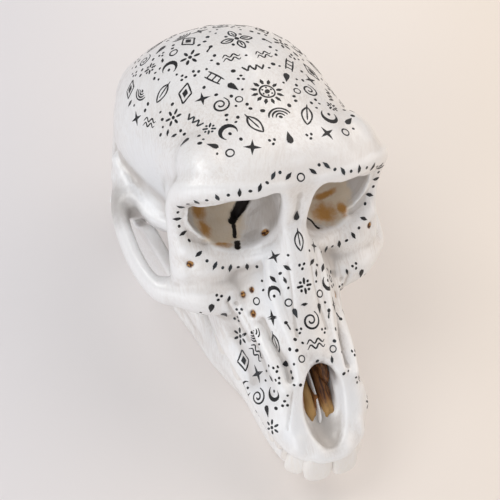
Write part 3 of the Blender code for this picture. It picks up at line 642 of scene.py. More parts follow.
def makeCranium():
    pieces = [sectionForm([eggSection(*row) for row in braincase["sections"]]), sectionForm(muzzle["sections"])]
    for path in faceBars.values():
        pieces += boneBar(path)
    for centre, half in swellings:
        pieces += bothBalls(centre, half)
    pieces += [archForm(side) for side in (1, -1)]
    bone = joinAll("cranium", pieces)
    meltTogether(bone, cranium["coarseVoxel"], 9)
    (earX, *earStart), (earEndX, *earEnd), earRadius = craniumCuts["earHole"]
    cutAway(bone, [socketCutter(1), socketCutter(-1), tubeBetween(*craniumCuts["neckHole"]),
                   ball(*craniumCuts["throat"])])
    cutAway(bone, [ball(*craniumCuts["noseOpening"]),
                   *[tubeBetween((side * earX, *earStart), (side * earEndX, *earEnd), earRadius) for side in (1, -1)],
                   *bothBalls(*craniumCuts["socketBack"])])
    cutAway(bone, [ball(*craniumCuts["noseRoom"])])
    cutAway(bone, bothBalls(*craniumCuts["nosePassage"]))
    meltTogether(bone, cranium["fineVoxel"], 10)
    keepLargest(bone)
    carve(bone, [(points, width, rise * cranium["carving"], sides) for points, width, rise, sides in faceCarving])
    rim = socketRing(-1, *eyeSocket["lip"][:3])
    carve(bone, ((tuple(rim[::4]) + (rim[0],), *eyeSocket["lip"][3:], "both"),))
    carve(bone, socketCarving)
    useModifier(bone, "SMOOTH", factor=0.4, iterations=1)
    thinTo(bone, cranium["triangles"])
    toSharedFrame(bone)
    for name, rounds in hollowRounds.items():
        markHollows(bone, name, rounds)
    return bone


craniumBone = makeCranium()
print("cranium:", len(craniumBone.data.polygons), "faces")

jawBars = {
    "body": (
        (-4, -67, -9.4, 5.4), (-7.2, -62, -9.6, 4.8), (-9.0, -53, -9.4, 4.5), (-10.4, -42, -8.8, 4.6),
        (-13.2, -33, -8.2, 4.9), (-15.6, -27, -7.6, 4.9), (-18.0, -20, -6.8, 5.0), (-20.4, -9, -6.2, 4.8),
        (-24.2, 3, -5.5, 4.2),
    ),
    "toothBed": (
        (-3.5, -71.0, -6.2, 4.4), (-7.6, -68.4, -6.8, 4.2), (-10.2, -62, -7.4, 3.8), (-11.6, -54, -7.0, 3.7),
        (-13.0, -42, -5.6, 3.9), (-15.2, -31, -4.0, 4.3), (-18.0, -19, -2.6, 4.6), (-21.0, -8, -0.4, 4.4),
        (-24.2, -1, 3.0, 3.8),
    ),
    "base": (
        (0, -58, -12.4, 4.8), (-6.0, -54, -12.4, 4.5), (-8.4, -42, -12.3, 4.5), (-10.8, -33, -12.3, 4.6),
        (-13.6, -25, -12.3, 4.6), (-16.2, -15, -12.3, 4.5), (-18.4, -4, -12.2, 4.4), (-21.2, 7, -12.2, 4.2),
        (-24.6, 17, -12.1, 4.0), (-27.8, 26, -11.0, 3.4),
    ),
    "chin": ((0, -72.5, -4.8, 4.6), (0, -68.0, -8.4, 6.0), (0, -61.5, -11.0, 5.8)),
}
jawPlate = {
    # y and z of the upright plate, from its front foot round over the coronoid and the condyle
    "outline": (
        (-9, 0), (-3, 7), (3, 13.5), (9, 19.5), (14, 24), (18, 26.4), (21.5, 25.6), (24.5, 22), (28, 18.6),
        (31.5, 18.6), (34.5, 21.5), (37.5, 24.5), (41, 23), (41, 12), (39, 3), (36.5, -5), (33, -11),
        (27, -15), (18, -15.6), (6, -14), (-3, -12), (-8, -8),
    ),
    "halfThick": 2.6,
    "frontX": 21.2,
    "spread": (0.455, -0.0048),
    "lean": (0.25, -0.3),
}
jawSwellings = (
    ((-38.0, 38.4, 22.0), (7.6, 4.0, 3.5)),  # condyle
    ((-27.8, 22, -11.6), (3.4, 11.5, 4.2)),  # angle of the jaw
    ((0, -56.5, -12.6), (8.0, 6.0, 4.8)),  # underside of the chin
)
lowerJaw = {"voxel": 0.66, "triangles": 120000, "floor": -16.3}


def plateForm(side):
    closed = [*jawPlate["outline"], jawPlate["outline"][0]]
    dense = [between(closed, i / 4) for i in range(4 * (len(closed) - 1))]
    bpy.ops.mesh.primitive_circle_add(vertices=len(dense), radius=1, fill_type="NGON")
    obj = bpy.context.object
    for vert, (y, z) in zip(obj.data.vertices, dense):
        vert.co = (y * mm, z * mm, -jawPlate["halfThick"] * mm)
    bpy.ops.object.mode_set(mode="EDIT")
    bpy.ops.mesh.select_all(action="SELECT")
    bpy.ops.mesh.extrude_region_move(TRANSFORM_OT_translate={"value": (0, 0, 2 * jawPlate["halfThick"] * mm)})
    bpy.ops.mesh.select_all(action="SELECT")
    bpy.ops.mesh.quads_convert_to_tris()
    bpy.ops.object.mode_set(mode="OBJECT")
    for vert in obj.data.vertices:
        y, z, thick = vert.co / mm
        along = y - jawPlate["outline"][0][0]
        x = jawPlate["frontX"] + jawPlate["spread"][0] * along + jawPlate["spread"][1] * along**2
        x += jawPlate["lean"][0 if z > 0 else 1] * abs(z)
        vert.co = Vector((side * (x + thick), y, z)) * mm
    cleanMesh(obj)
    return obj


def makeLowerJaw():
    pieces = []
    for path in jawBars.values():
        pieces += boneBar(path)
    for centre, half in jawSwellings:
        pieces += bothBalls(centre, half)
    pieces += [plateForm(side) for side in (1, -1)]
    bone = joinAll("lowerJaw", pieces)
    meltTogether(bone, lowerJaw["voxel"], 16)
    bpy.ops.mesh.primitive_cube_add(size=0.4, location=(0, 0, lowerJaw["floor"] * mm - 0.2))
    cutAway(bone, [bpy.context.object])
    keepLargest(bone)
    thinTo(bone, lowerJaw["triangles"])
    toSharedFrame(bone)
    for name, rounds in hollowRounds.items():
        markHollows(bone, name, rounds)
    return bone


jawBone = makeLowerJaw()
print("lower jaw:", len(jawBone.data.polygons), "faces")

upperTeeth = (
    # centre x, centre y, half width along the row, half depth across it, crown height, kind
    (5.25, -79.2, 5.2, 2.8, 8.2, "incisor"),
    (11.5, -74.8, 3.8, 2.5, 6.0, "incisor"),
    (14.4, -66.4, 3.1, 2.5, 6.6, "canine"),
    (14.2, -57.0, 3.6, 2.9, 6.0, "cheek"),
    (14.4, -49.9, 3.5, 3.3, 6.0, "cheek"),
    (15.1, -41.5, 4.9, 3.6, 6.0, "cheek"),
    (16.5, -31.1, 5.5, 3.9, 6.0, "cheek"),
    (17.6, -20.2, 5.4, 3.9, 6.0, "cheek"),
)
lowerTeeth = (
    (2.7, -74.8, 2.6, 2.1, 6.4, "incisor"),
    (7.9, -73.0, 2.6, 2.1, 6.2, "incisor"),
    (10.9, -69.2, 2.5, 2.2, 6.4, "canine"),
    (11.6, -58.4, 4.2, 2.5, 5.6, "cheek"),
    (12.2, -50.2, 3.9, 2.6, 5.6, "cheek"),
    (13.2, -41.6, 4.7, 2.9, 5.6, "cheek"),
    (15.0, -31.2, 5.5, 3.4, 5.6, "cheek"),
    (17.0, -19.4, 6.3, 3.6, 5.6, "cheek"),
)


def biteHeight(y):
    return 7.4 + 0.145 * (y + 19.0)


toothForm = {"cuts": 2, "fullness": 1.22, "levels": 3, "incisorRoundness": 0.62, "roundness": 0.45}


def crown(centre, half, lean, yaw, taper, roundness):
    bpy.ops.object.select_all(action="DESELECT")
    bpy.ops.mesh.primitive_cube_add(size=2)
    obj = bpy.context.object
    bpy.ops.object.mode_set(mode="EDIT")
    bpy.ops.mesh.subdivide(number_cuts=toothForm["cuts"])
    bpy.ops.object.mode_set(mode="OBJECT")
    for vert in obj.data.vertices:
        x, y, z = vert.co.lerp(vert.co.normalized() * toothForm["fullness"], roundness)
        if z < -0.1:
            x *= 1 + (taper[0] - 1) * min(1, -z)
            y *= 1 + (taper[1] - 1) * min(1, -z)
        vert.co = (x * half[0] * mm, y * half[1] * mm, z * half[2] * mm)
    useModifier(obj, "SUBSURF", levels=toothForm["levels"], render_levels=toothForm["levels"])
    turn = Matrix.Rotation(math.radians(yaw), 4, "Z") @ Matrix.Rotation(math.radians(lean), 4, "X")
    obj.matrix_world = Matrix.Translation(Vector(centre) * mm) @ turn
    only(obj)
    bpy.ops.object.transform_apply(location=True, rotation=True, scale=True)
    return obj


def makeUpperTeeth():
    made = []
    for x, y, along, across, height, kind in upperTeeth:
        for side in (-1, 1):
            gum = biteHeight(y) + 6.0
            yaw, lean, half, taper = side * 3, 0, (across, along, height / 2 + 1.6), (0.9, 0.92)
            if kind == "incisor":
                yaw, lean = side * (8 if x < 8 else 40), -28
                half, taper = (along, across, height / 2 + 1.8), (0.94, 0.55)
                gum = height - 2.8
            elif kind == "canine":
                yaw, lean, taper = 0, -8, (0.5, 0.5)
            roundness = toothForm["incisorRoundness" if kind == "incisor" else "roundness"]
            made.append(crown((side * x, y, gum - height / 2 + 1.6), half, lean, yaw, taper, roundness))
    teeth = joinAll("upperTeeth", made)
    toSharedFrame(teeth)
    return teeth


def makeLowerTeeth():
    made = []
    for x, y, along, across, height, kind in lowerTeeth:
        for side in (-1, 1):
            yaw, lean, half, taper = side * 4, 180, (across, along, height / 2 + 1.6), (0.9, 0.92)
            top = biteHeight(y) - 0.5
            if kind != "cheek":
                yaw = side * (50 if kind == "canine" else 6 if x < 5 else 24)
                lean, half, taper, top = 194, (along, across, height / 2 + 1.6), (0.95, 0.6), 2.2
            made.append(crown((side * x, y, top - half[2]), half, lean, yaw, taper, toothForm["roundness"]))
    teeth = joinAll("lowerTeeth", made)
    toSharedFrame(teeth)
    return teeth


upperRow = makeUpperTeeth()
lowerRow = makeLowerTeeth()
print("teeth:", len(upperRow.data.polygons) + len(lowerRow.data.polygons), "faces")

# pieces inside the nose
noseInside = {
    # y and z of the septum's outline
    "septum": (
        (-67.2, 10.4), (-66.0, 12.4), (-63.0, 13.9), (-60.0, 15.2), (-56.0, 17.0), (-51.5, 19.4), (-47.0, 23.0),
        (-42.0, 28.0), (-38.0, 31.0), (-38.0, 14.5), (-48.0, 13.6), (-58.0, 11.4),
    ),
    "septumThick": 0.75,
    "scrollEnd": -64.8,  # y where the scrolls are broken off
    # scroll of thin bone on each side: centre, half size, turn
    "scrolls": (
        ((3.5, -55.6, 15.2), (2.5, 14.2, 2.6), (17, 0, -1)),
        ((4.6, -47.5, 21.0), (2.2, 9.5, 3.0), (24, 0, 4)),
    ),
}


def makeSeptum():
    closed = [*noseInside["septum"], noseInside["septum"][0]]
    dense = [between(closed, i / 3) for i in range(3 * (len(closed) - 1))]
    bpy.ops.mesh.primitive_circle_add(vertices=len(dense), radius=1, fill_type="NGON")
    obj = bpy.context.object
    half = noseInside["septumThick"] / 2
    for vert, (y, z) in zip(obj.data.vertices, dense):
        vert.co = Vector((-half, y, z)) * mm
    bpy.ops.object.mode_set(mode="EDIT")
    bpy.ops.mesh.select_all(action="SELECT")
    bpy.ops.mesh.extrude_region_move(TRANSFORM_OT_translate={"value": (2 * half * mm, 0, 0)})
    bpy.ops.object.mode_set(mode="OBJECT")
    useModifier(obj, "BEVEL", width=0.22 * mm, segments=2, limit_method="ANGLE")
    for vert in obj.data.vertices:  # real septa stand a little bent
        vert.co.x += (0.35 * math.sin(vert.co.z / mm * 0.5) - 0.2) * mm
    cleanMesh(obj)
    toSharedFrame(obj)
    return obj


def makeScrolls():
    made = []
    for centre, half, turn in noseInside["scrolls"]:
        made += bothBalls(centre, half, turn)
    scrolls = joinAll("noseScrolls", made)
    for vert in scrolls.data.vertices:
        x, y, z = vert.co / mm
        past = y - noseInside["scrollEnd"]
        if past < 0:  # blunt, broken ends
            vert.co.y = (noseInside["scrollEnd"] + 0.25 * past + 0.4 * math.sin(x * 2.2)) * mm
        swirl = 0.35 * math.sin(z * 2.6 + y * 0.35) + 0.25 * math.sin(y * 0.9 + x * 2.0)
        vert.co.x += math.copysign(swirl * 0.6, x) * mm
        vert.co.z += swirl * 0.5 * mm
    toSharedFrame(scrolls)
    return scrolls


septum = makeSeptum()
noseScrolls = makeScrolls()
print("nose: septum and scrolls are in")

# ink drawing: flat strokes in millimetres, laid on the bone afterwards
inkSetup = {
    "lift": 0.05, "thick": 0.05, "seed": 11, "scale": 1.36, "gap": 0.25,
    # the small marks between the others: which, how large, and the gap round them
    "fillers": ("dot", "speck", "bead", "trio", "drop"), "fillerSize": 0.8, "fillerGap": 0.75,
}
inkHand = random.Random(inkSetup["seed"])


def placeStrip(outline, closed=False):
    # outline is a list of (x, y, half width); the strip is a row of faces bent along it
    cells = len(outline) - 1
    bpy.ops.mesh.primitive_grid_add(x_subdivisions=cells, y_subdivisions=1, size=1)
    obj = bpy.context.object
    lengths = sorted({round(vert.co.x, 5) for vert in obj.data.vertices})
    places = {value: i for i, value in enumerate(lengths)}
    for vert in obj.data.vertices:
        i = places[round(vert.co.x, 5)]
        x, y, half = outline[i]
        before = outline[i - 1] if i else (outline[-2] if closed else outline[0])
        after = outline[i + 1] if i < cells else (outline[1] if closed else outline[-1])
        way = Vector((after[0] - before[0], after[1] - before[1])).normalized()
        side = 1 if vert.co.y > 0 else -1
        vert.co = (x - way.y * half * side, y + way.x * half * side, 0)
    return obj


def stroke(points, width=0.55, taper=0.45, close=False, wobble=0.05):
    # a pen line through the points, thinner at its ends, never quite even
    length = sum(math.dist(a, b) for a, b in zip(points, points[1:]))
    cells = max(3, min(40, round(length / 0.45)))
    steps = [i * (len(points) - 1) / cells for i in range(cells + 1)]
    phase = inkHand.uniform(0, 6.28)
    line = []
    for i, step in enumerate(steps):
        if len(points) > 2:
            x, y = between(points, step)
        else:
            x, y = between([points[0], points[0], points[1], points[1]], 1 + step)
        share = i / cells
        ends = 1 if close else min(1, taper + 3.2 * min(share, 1 - share))
        half = width / 2 * ends * (1 + 0.14 * math.sin(phase + 9 * share))
        if not close:
            x, y = x + wobble * math.sin(phase + 5 * share), y + wobble * math.cos(phase + 4 * share)
        line.append((x, y, half))
    if close:
        line[-1] = line[0]
    return placeStrip(line, close)


def straight(a, b, width=0.55, taper=0.45):
    points = [(a[0] + (b[0] - a[0]) * i / 3, a[1] + (b[1] - a[1]) * i / 3) for i in range(4)]
    return stroke(points, width, taper)


def spot(x, y, radius=0.5, longer=1.0, turn=0.0):
    bpy.ops.mesh.primitive_circle_add(vertices=10, radius=1, fill_type="TRIFAN")
    obj = bpy.context.object
    phase = inkHand.uniform(0, 6.28)
    c, s = math.cos(turn), math.sin(turn)
    for vert in obj.data.vertices:
        u, v = vert.co.x * radius * longer, vert.co.y * radius
        grow = 1 + 0.10 * math.sin(phase + 2 * math.atan2(vert.co.y, vert.co.x)) if vert.co.length > 0.1 else 1
        vert.co = (x + (u * c - v * s) * grow, y + (u * s + v * c) * grow, 0)
    return obj


def filled(corners, turnRound=2):
    # a filled shape: its corners are given in turn, its sides are split so that it can follow the bone
    dense = []
    for a, b in zip(corners, [*corners[1:], corners[0]]):
        dense += [
            (a[0] + (b[0] - a[0]) * i / turnRound, a[1] + (b[1] - a[1]) * i / turnRound) for i in range(turnRound)
        ]
    bpy.ops.mesh.primitive_circle_add(vertices=len(dense), radius=1, fill_type="TRIFAN")
    obj = bpy.context.object
    middle = [sum(p[k] for p in corners) / len(corners) for k in (0, 1)]
    edge = iter(dense)
    for vert in obj.data.vertices:
        if vert.co.length > 0.5:
            x, y = next(edge)
            vert.co = (x + inkHand.uniform(-0.05, 0.05), y + inkHand.uniform(-0.05, 0.05), 0)
        else:
            vert.co = (*middle, 0)
    return obj


def polar(radius, degrees):
    return (radius * math.cos(math.radians(degrees)), radius * math.sin(math.radians(degrees)))


def arc(radius, start, end, count=9, middle=(0, 0)):
    return [
        (middle[0] + polar(radius, start + (end - start) * i / (count - 1))[0],
         middle[1] + polar(radius, start + (end - start) * i / (count - 1))[1])
        for i in range(count)
    ]


def drawLozenge():
    corners = ((0, 3.4), (2.1, 0), (0, -3.4), (-2.1, 0))
    made = [straight(a, b, 0.5, 0.8) for a, b in zip(corners, [*corners[1:], corners[0]])]
    return made + [filled([(0, 1.5), (0.95, 0), (0, -1.5), (-0.95, 0)])]


def drawCrescent():  # one bent strip, fattest at its middle
    middle = arc(2.3, -125, 125, 15)
    bent = [(x, y, 0.08 + 0.62 * math.cos(math.pi * (i / 14 - 0.5)) ** 1.3) for i, (x, y) in enumerate(middle)]
    return [placeStrip(bent), spot(-0.5, 0, 0.5)]


def drawSpiral():
    points = [polar(0.35 + 2.3 * i / 20, 30 * i) for i in range(21)]
    return [stroke(points, 0.5, 0.6)]


def drawWaves():
    made = []
    for shift in (-0.8, 0.8):
        made.append(stroke([(-3 + 0.5 * i, shift + 0.65 * math.sin(i * 1.15)) for i in range(13)], 0.5, 0.4))
    return made


def drawLeaf():
    right = [(0, -3.4), (1.2, -1.6), (1.45, 0.2), (0.9, 2.0), (0, 3.3)]
    left = [(-x, y) for x, y in right]
    return [stroke(right, 0.5, 0.5), stroke(left, 0.5, 0.5), straight((0, -4.4), (0, 1.6), 0.42, 0.4)]


def drawPlus():
    made = [straight(polar(2.3, a), polar(0.5, a), 0.7, 0.5) for a in (0, 90, 180, 270)]
    return made + [spot(*polar(1.6, a), 0.42) for a in (45, 135, 225, 315)]


def drawDrop():
    right = [(0, 2.4), (0.55, 1.0), (1.0, -0.2), (0.85, -1.1), (0, -1.55)]
    return [filled(right + [(-x, y) for x, y in right[-2:0:-1]])]


def drawFlower():
    made = [spot(0, 0, 0.6)]
    for a in range(0, 360, 60):
        x, y = polar(1.9, a)
        made.append(spot(x, y, 0.45, 2.0, math.radians(a)))
    return made


def drawStar():
    corners = []
    for a in range(0, 360, 45):
        corners.append(polar(2.7 if a % 90 == 0 else 0.8, a))
    return [filled(corners, 2)]


def drawRungs():
    made = [straight((-1.1, -2.8), (-1.1, 2.8), 0.5), straight((1.1, -2.8), (1.1, 2.8), 0.5)]
    return made + [straight((-1.1, y), (1.1, y), 0.42, 0.8) for y in (-1.8, 0, 1.8)]


def drawArcs():
    return [stroke(arc(r, 15, 165), 0.5, 0.5) for r in (1.3, 2.2, 3.1)] + [spot(0, 0.2, 0.5)]


def drawZigzag():
    points = [(-3.2 + 1.07 * i, 0.9 if i % 2 else -0.9) for i in range(7)]
    return [straight(a, b, 0.55, 0.9) for a, b in zip(points, points[1:])]


def drawTrio():
    return [spot(*polar(0.95, a), 0.5) for a in (90, 210, 330)]


def drawDot():
    return [spot(0, 0, 0.62)]


def drawSmallRing():
    return [stroke(arc(1.15, 0, 360, 13), 0.42, close=True)]


def drawBud():
    return [spot(0, 0.7, 0.62, 1.0), straight((0, 0.2), (0, -2.0), 0.5, 0.5)]


def drawBead():
    return [filled([(0, 1.35), (0.5, 0.25), (0.42, -0.5), (0, -1.2), (-0.42, -0.5), (-0.5, 0.25)])]


def drawSpeck():
    return [spot(0, 0, 0.42, 1.15)]


def drawRosette():
    made = [stroke(arc(2.2, 0, 360, 19), 0.5, close=True), spot(0, 0, 0.8)]
    for a in range(0, 360, 30):
        ray = [polar(2.9, a - 6), polar(3.9, a - 8), polar(4.9, a), polar(3.9, a + 8), polar(2.9, a + 6)]
        made.append(filled(ray, 1))
    made += [spot(*polar(1.45, a), 0.3) for a in range(20, 380, 60)]
    return made


def drawBigLeafCross():
    made = [spot(0, 0, 0.7)]
    for a in (0, 90, 180, 270):
        c, s = math.cos(math.radians(a)), math.sin(math.radians(a))
        for side in (-1, 1):
            half = [(1.0, 0), (2.4, 0.95 * side), (3.9, 0.75 * side), (5.0, 0)]
            made.append(stroke([(x * c - y * s, x * s + y * c) for x, y in half], 0.5, 0.5))
        made.append(straight(polar(1.6, a), polar(3.6, a), 0.4))
        made.append(spot(*polar(3.2, a + 45), 0.5))
    return made


inkShapes = {
    "lozenge": drawLozenge, "crescent": drawCrescent, "spiral": drawSpiral, "waves": drawWaves, "leaf": drawLeaf,
    "plus": drawPlus, "drop": drawDrop, "flower": drawFlower, "star": drawStar, "rungs": drawRungs, "arcs": drawArcs,
    "zigzag": drawZigzag, "trio": drawTrio, "dot": drawDot, "smallRing": drawSmallRing, "bud": drawBud,
    "rosette": drawRosette, "leafCross": drawBigLeafCross, "bead": drawBead, "speck": drawSpeck,
}
inkForward = Vector((0, -1, -0.35))  # the way that the marks' tops point
inkModels = {}
for shapeName, draw in inkShapes.items():
    for version in range(2):
        inkModels[shapeName, version] = joinAll(shapeName, draw())
print("ink shapes:", len(inkModels))

craniumTree = BVHTree.FromPolygons(
    [vert.co for vert in craniumBone.data.vertices], [face.vertices for face in craniumBone.data.polygons]
)
axisHeights = ((-62, 10), (-50, 17), (-40, 22), (-30, 27), (-20, 34), (-10, 48), (0, 50), (90, 50))


def axisHeight(y):
    for (y0, z0), (y1, z1) in zip(axisHeights, axisHeights[1:]):
        if y <= y1:
            return z0 + (z1 - z0) * (y - y0) / (y1 - y0)
    return axisHeights[-1][1]


def skinAround(y, degrees):  # the bone at this y, seen from outside at this angle from the top, right side negative
    out = Vector((math.sin(math.radians(degrees)), 0, math.cos(math.radians(degrees))))
    start = (Vector((0, y, axisHeight(y))) + out * 120) * mm + toShared
    return craniumTree.ray_cast(start, -out)[:2]


def skinInFront(x, z):
    return craniumTree.ray_cast(Vector((x, -120, z)) * mm + toShared, Vector((0, 1, 0)))[:2]


# where marks lie already, and how far they reach; the openings of the bone come first, in the skull's own mm
inkKeepOff = (
    ((0, -62, 16), 12.5), ((-15.9, -29.8, 32.3), 2.6), ((-17.7, -22.8, 35.0), 2.0), ((-15.0, -23.4, 37.7), 2.0),
    ((15.9, -29.8, 32.3), 2.2), ((-35.2, -11.3, 44.9), 2.2), ((35.2, -11.3, 44.9), 2.2),
)
inkTaken = [(Vector(place) * mm + toShared, reach * mm) for place, reach in inkKeepOff]
inkReach = {
    "lozenge": 3.4, "crescent": 2.7, "spiral": 2.7, "waves": 3.1, "leaf": 4.0, "plus": 2.4, "drop": 2.1,
    "flower": 2.9, "star": 2.7, "rungs": 2.9, "arcs": 3.1, "zigzag": 3.3, "trio": 1.5, "dot": 0.7,
    "smallRing": 1.3, "bud": 1.9, "rosette": 5.0, "leafCross": 5.0, "bead": 1.3, "speck": 0.5,
}


def layInk(shape, place, normal, forward, size=1.0, turn=0.0):
    if place is None:
        return []
    up = (forward - normal * forward.dot(normal)).normalized()
    right = up.cross(normal)
    tangent = Matrix((right, up, normal)).transposed().to_4x4()
    source = inkModels[shape, inkHand.randrange(2)]
    mark = source.copy()
    mark.data = source.data.copy()
    bpy.context.scene.collection.objects.link(mark)
    spin = Matrix.Rotation(math.radians(turn + inkHand.uniform(-5, 5)), 4, "Z")
    size *= inkSetup["scale"]
    mark.data.transform(Matrix.Translation(place) @ tangent @ spin @ Matrix.Scale(size * mm, 4))
    inkTaken.append((place, inkReach[shape] * size * mm))
    return [mark]


inkLayout = {
    # rows over the braincase: y, then (angle, shape, size, turn); each is drawn on both sides unless its angle is 0
    "braincase": (
        (2.5, ((0, "drop", 0.9, 180), (11, "trio", 0.8, 0), (22, "star", 0.85, 20), (33, "smallRing", 0.9, 0))),
        (11, ((0, "arcs", 1.0, 180), (15, "leaf", 0.95, -24), (29, "crescent", 0.95, 70), (42, "dot", 1.0, 0))),
        (16, ((8, "dot", 1, 0), (22, "dot", 0.8, 0), (36, "plus", 0.8, 20), (49, "drop", 0.8, 60))),
        (23, ((0, "rosette", 0.92, 0), (17, "smallRing", 0.8, 0), (27, "spiral", 0.95, 0),
         (42, "zigzag", 0.9, 60))),
        (30, ((17, "drop", 0.9, -30), (33, "star", 0.8, 0), (52, "flower", 0.9, 0))),
        (36, ((0, "zigzag", 0.95, 0), (12, "dot", 1, 0), (23, "rungs", 0.9, -35),
         (40, "lozenge", 0.9, 20), (66, "waves", 0.8, 30))),
        (42, ((9, "waves", 0.8, 0), (30, "trio", 0.9, 30), (52, "leaf", 0.85, 50), (72, "star", 0.8, 0))),
        (50, ((0, "leafCross", 0.95, 0), (18, "bud", 0.9, -140), (29, "flower", 1.0, 0),
         (43, "crescent", 0.9, 110), (62, "arcs", 0.85, 60))),
        (57, ((14, "dot", 1, 0), (22, "lozenge", 0.95, -20), (37, "smallRing", 1, 0),
         (54, "plus", 0.9, 0), (72, "lozenge", 0.85, 10))),
        (65, ((0, "spiral", 1.0, 0), (12, "star", 0.9, 0), (27, "arcs", 0.95, -30),
         (45, "drop", 0.9, 50), (60, "spiral", 0.85, 0))),
        (73, ((0, "drop", 1, 0), (16, "waves", 0.9, 10), (34, "trio", 1, 0), (50, "leaf", 0.9, 40))),
        (79, ((10, "flower", 0.9, 0), (32, "lozenge", 0.9, 0))),
    ),
    "muzzle": (
        (-10.5, ((0, "smallRing", 0.85, 0),)),
        (-14.5, ((0, "drop", 0.8, 180),)),
        (-20, ((0, "leaf", 0.8, 0), (24, "star", 0.7, 0))),
        (-26, ((0, "trio", 0.8, 0), (34, "crescent", 0.8, 80), (60, "smallRing", 0.8, 0))),
        (-31, ((0, "plus", 0.95, 0), (24, "smallRing", 0.8, 0), (78, "arcs", 0.85, -20),
         (98, "flower", 0.9, 0))),
        (-36, ((16, "drop", 0.7, 0), (44, "star", 0.8, 10), (66, "bud", 0.8, 20), (104, "lozenge", 0.85, 10))),
        (-39, ((0, "spiral", 1.0, 0), (28, "bud", 0.8, 160), (84, "waves", 0.85, 60))),
        (-43, ((16, "trio", 0.7, 0), (52, "leaf", 0.8, 12), (98, "star", 0.95, 0))),
        (-47, ((0, "waves", 0.85, 0), (32, "dot", 0.8, 0), (74, "rungs", 0.85, -12),
         (108, "crescent", 0.8, 0))),
        (-51, ((22, "smallRing", 0.75, 0), (52, "trio", 0.8, 0), (94, "spiral", 0.9, 0))),
        (-56, ((66, "crescent", 0.8, -60), (84, "drop", 0.8, 0), (104, "trio", 0.9, 0))),
        (-61, ((78, "flower", 0.8, 0), (98, "bud", 0.9, 180))),
    ),
    # where else a mark is tried if its place is taken: along y in mm, round in degrees
    "tries": (
        (0, 0), (1.6, 0), (-1.6, 0), (0, 4), (0, -4), (2.6, 4), (-2.6, -4), (2.6, -4), (-2.6, 4),
         (-4, 0), (4, 0),
    ),
    # beads round the eye sockets: how far outside the rim, how many
    "beads": {"away": 3.9, "above": 2.4, "count": 38},
}


def inkRoom(place, reach, gap):  # whether a mark of this reach in mm fits here
    return all((place - taken).length > other + (reach + gap) * mm for taken, other in inkTaken)


def drawLayout():
    made = []
    for row in (*inkLayout["braincase"], *inkLayout["muzzle"]):
        y, marks = row
        for degrees, shape, size, turn in marks:
            for side in (-1, 1) if degrees else (1,):
                rowY, angle = y + inkHand.uniform(-0.6, 0.6), degrees + inkHand.uniform(-0.8, 0.8)
                for moveY, moveAngle in inkLayout["tries"]:
                    place, normal = skinAround(rowY + moveY, side * (angle + moveAngle * (degrees != 0)))
                    reach = inkReach[shape] * size * inkSetup["scale"]
                    if place and inkRoom(place, reach, inkSetup["gap"]):
                        made += layInk(shape, place, normal, inkForward, size, turn * side)
                        break
    return made


def drawBeads():
    made = []
    for side in (-1, 1):
        rim = [Vector(p) for p in socketRing(side, 0.0, 1.0, 0.0)]
        middle = sum(rim, Vector()) / len(rim)
        count = inkLayout["beads"]["count"]
        lengths = [0.0]
        for a, b in zip(rim, [*rim[1:], rim[0]]):
            lengths.append(lengths[-1] + (b - a).length)
        for i in range(count):
            goal, k = lengths[-1] * i / count, 0
            while lengths[k + 1] < goal:
                k += 1
            a, b = rim[k], rim[(k + 1) % len(rim)]
            spot3d = a.lerp(b, (goal - lengths[k]) / max(1e-9, lengths[k + 1] - lengths[k]))
            out = Vector((spot3d.x - middle.x, 0, (spot3d.z - middle.z) * 1.15)).normalized()
            away = inkLayout["beads"]["away"] + inkLayout["beads"]["above"] * max(0.0, out.z)
            x, z = spot3d.x + out.x * away, spot3d.z + out.z * away
            place, normal = skinInFront(x, z)
            if place and abs(x) > 3.2:
                made += layInk("bead" if i % 2 == 0 else "speck", place, normal, out, 1.0, 0)
    return made


def drawFillers(rows, step, limit):  # small marks wherever there is room between the others
    made = []
    for y in rows:
        degrees = step / 2
        while degrees < limit(y):
            turn, shape = inkHand.uniform(0, 180), inkHand.choice(inkSetup["fillers"])
            rowY, angle = y + inkHand.uniform(-1.0, 1.0), degrees + inkHand.uniform(-1.5, 1.5)
            for side in (-1, 1):
                place, normal = skinAround(rowY, side * angle)
                if place and inkRoom(place, inkReach[shape], inkSetup["fillerGap"]):
                    made += layInk(shape, place, normal, inkForward, inkSetup["fillerSize"], turn * side)
            degrees += step
    return made


marks = drawBeads() + drawLayout()
marks += drawFillers(range(2, 84, 2), 3.2, lambda y: min(74, 36 + y))
marks += drawFillers(range(-62, -20, 2), 7.0, lambda y: 108)
ink = joinAll("inkDrawing", marks)
for model in inkModels.values():
    bpy.data.objects.remove(model)
useModifier(ink, "SHRINKWRAP", target=craniumBone, wrap_method="NEAREST_SURFACEPOINT", wrap_mode="ABOVE_SURFACE",
            offset=inkSetup["lift"] * mm)
useModifier(ink, "SOLIDIFY", thickness=2 * inkSetup["thick"] * mm, offset=-1)
print("ink drawing:", len(ink.data.polygons), "faces")

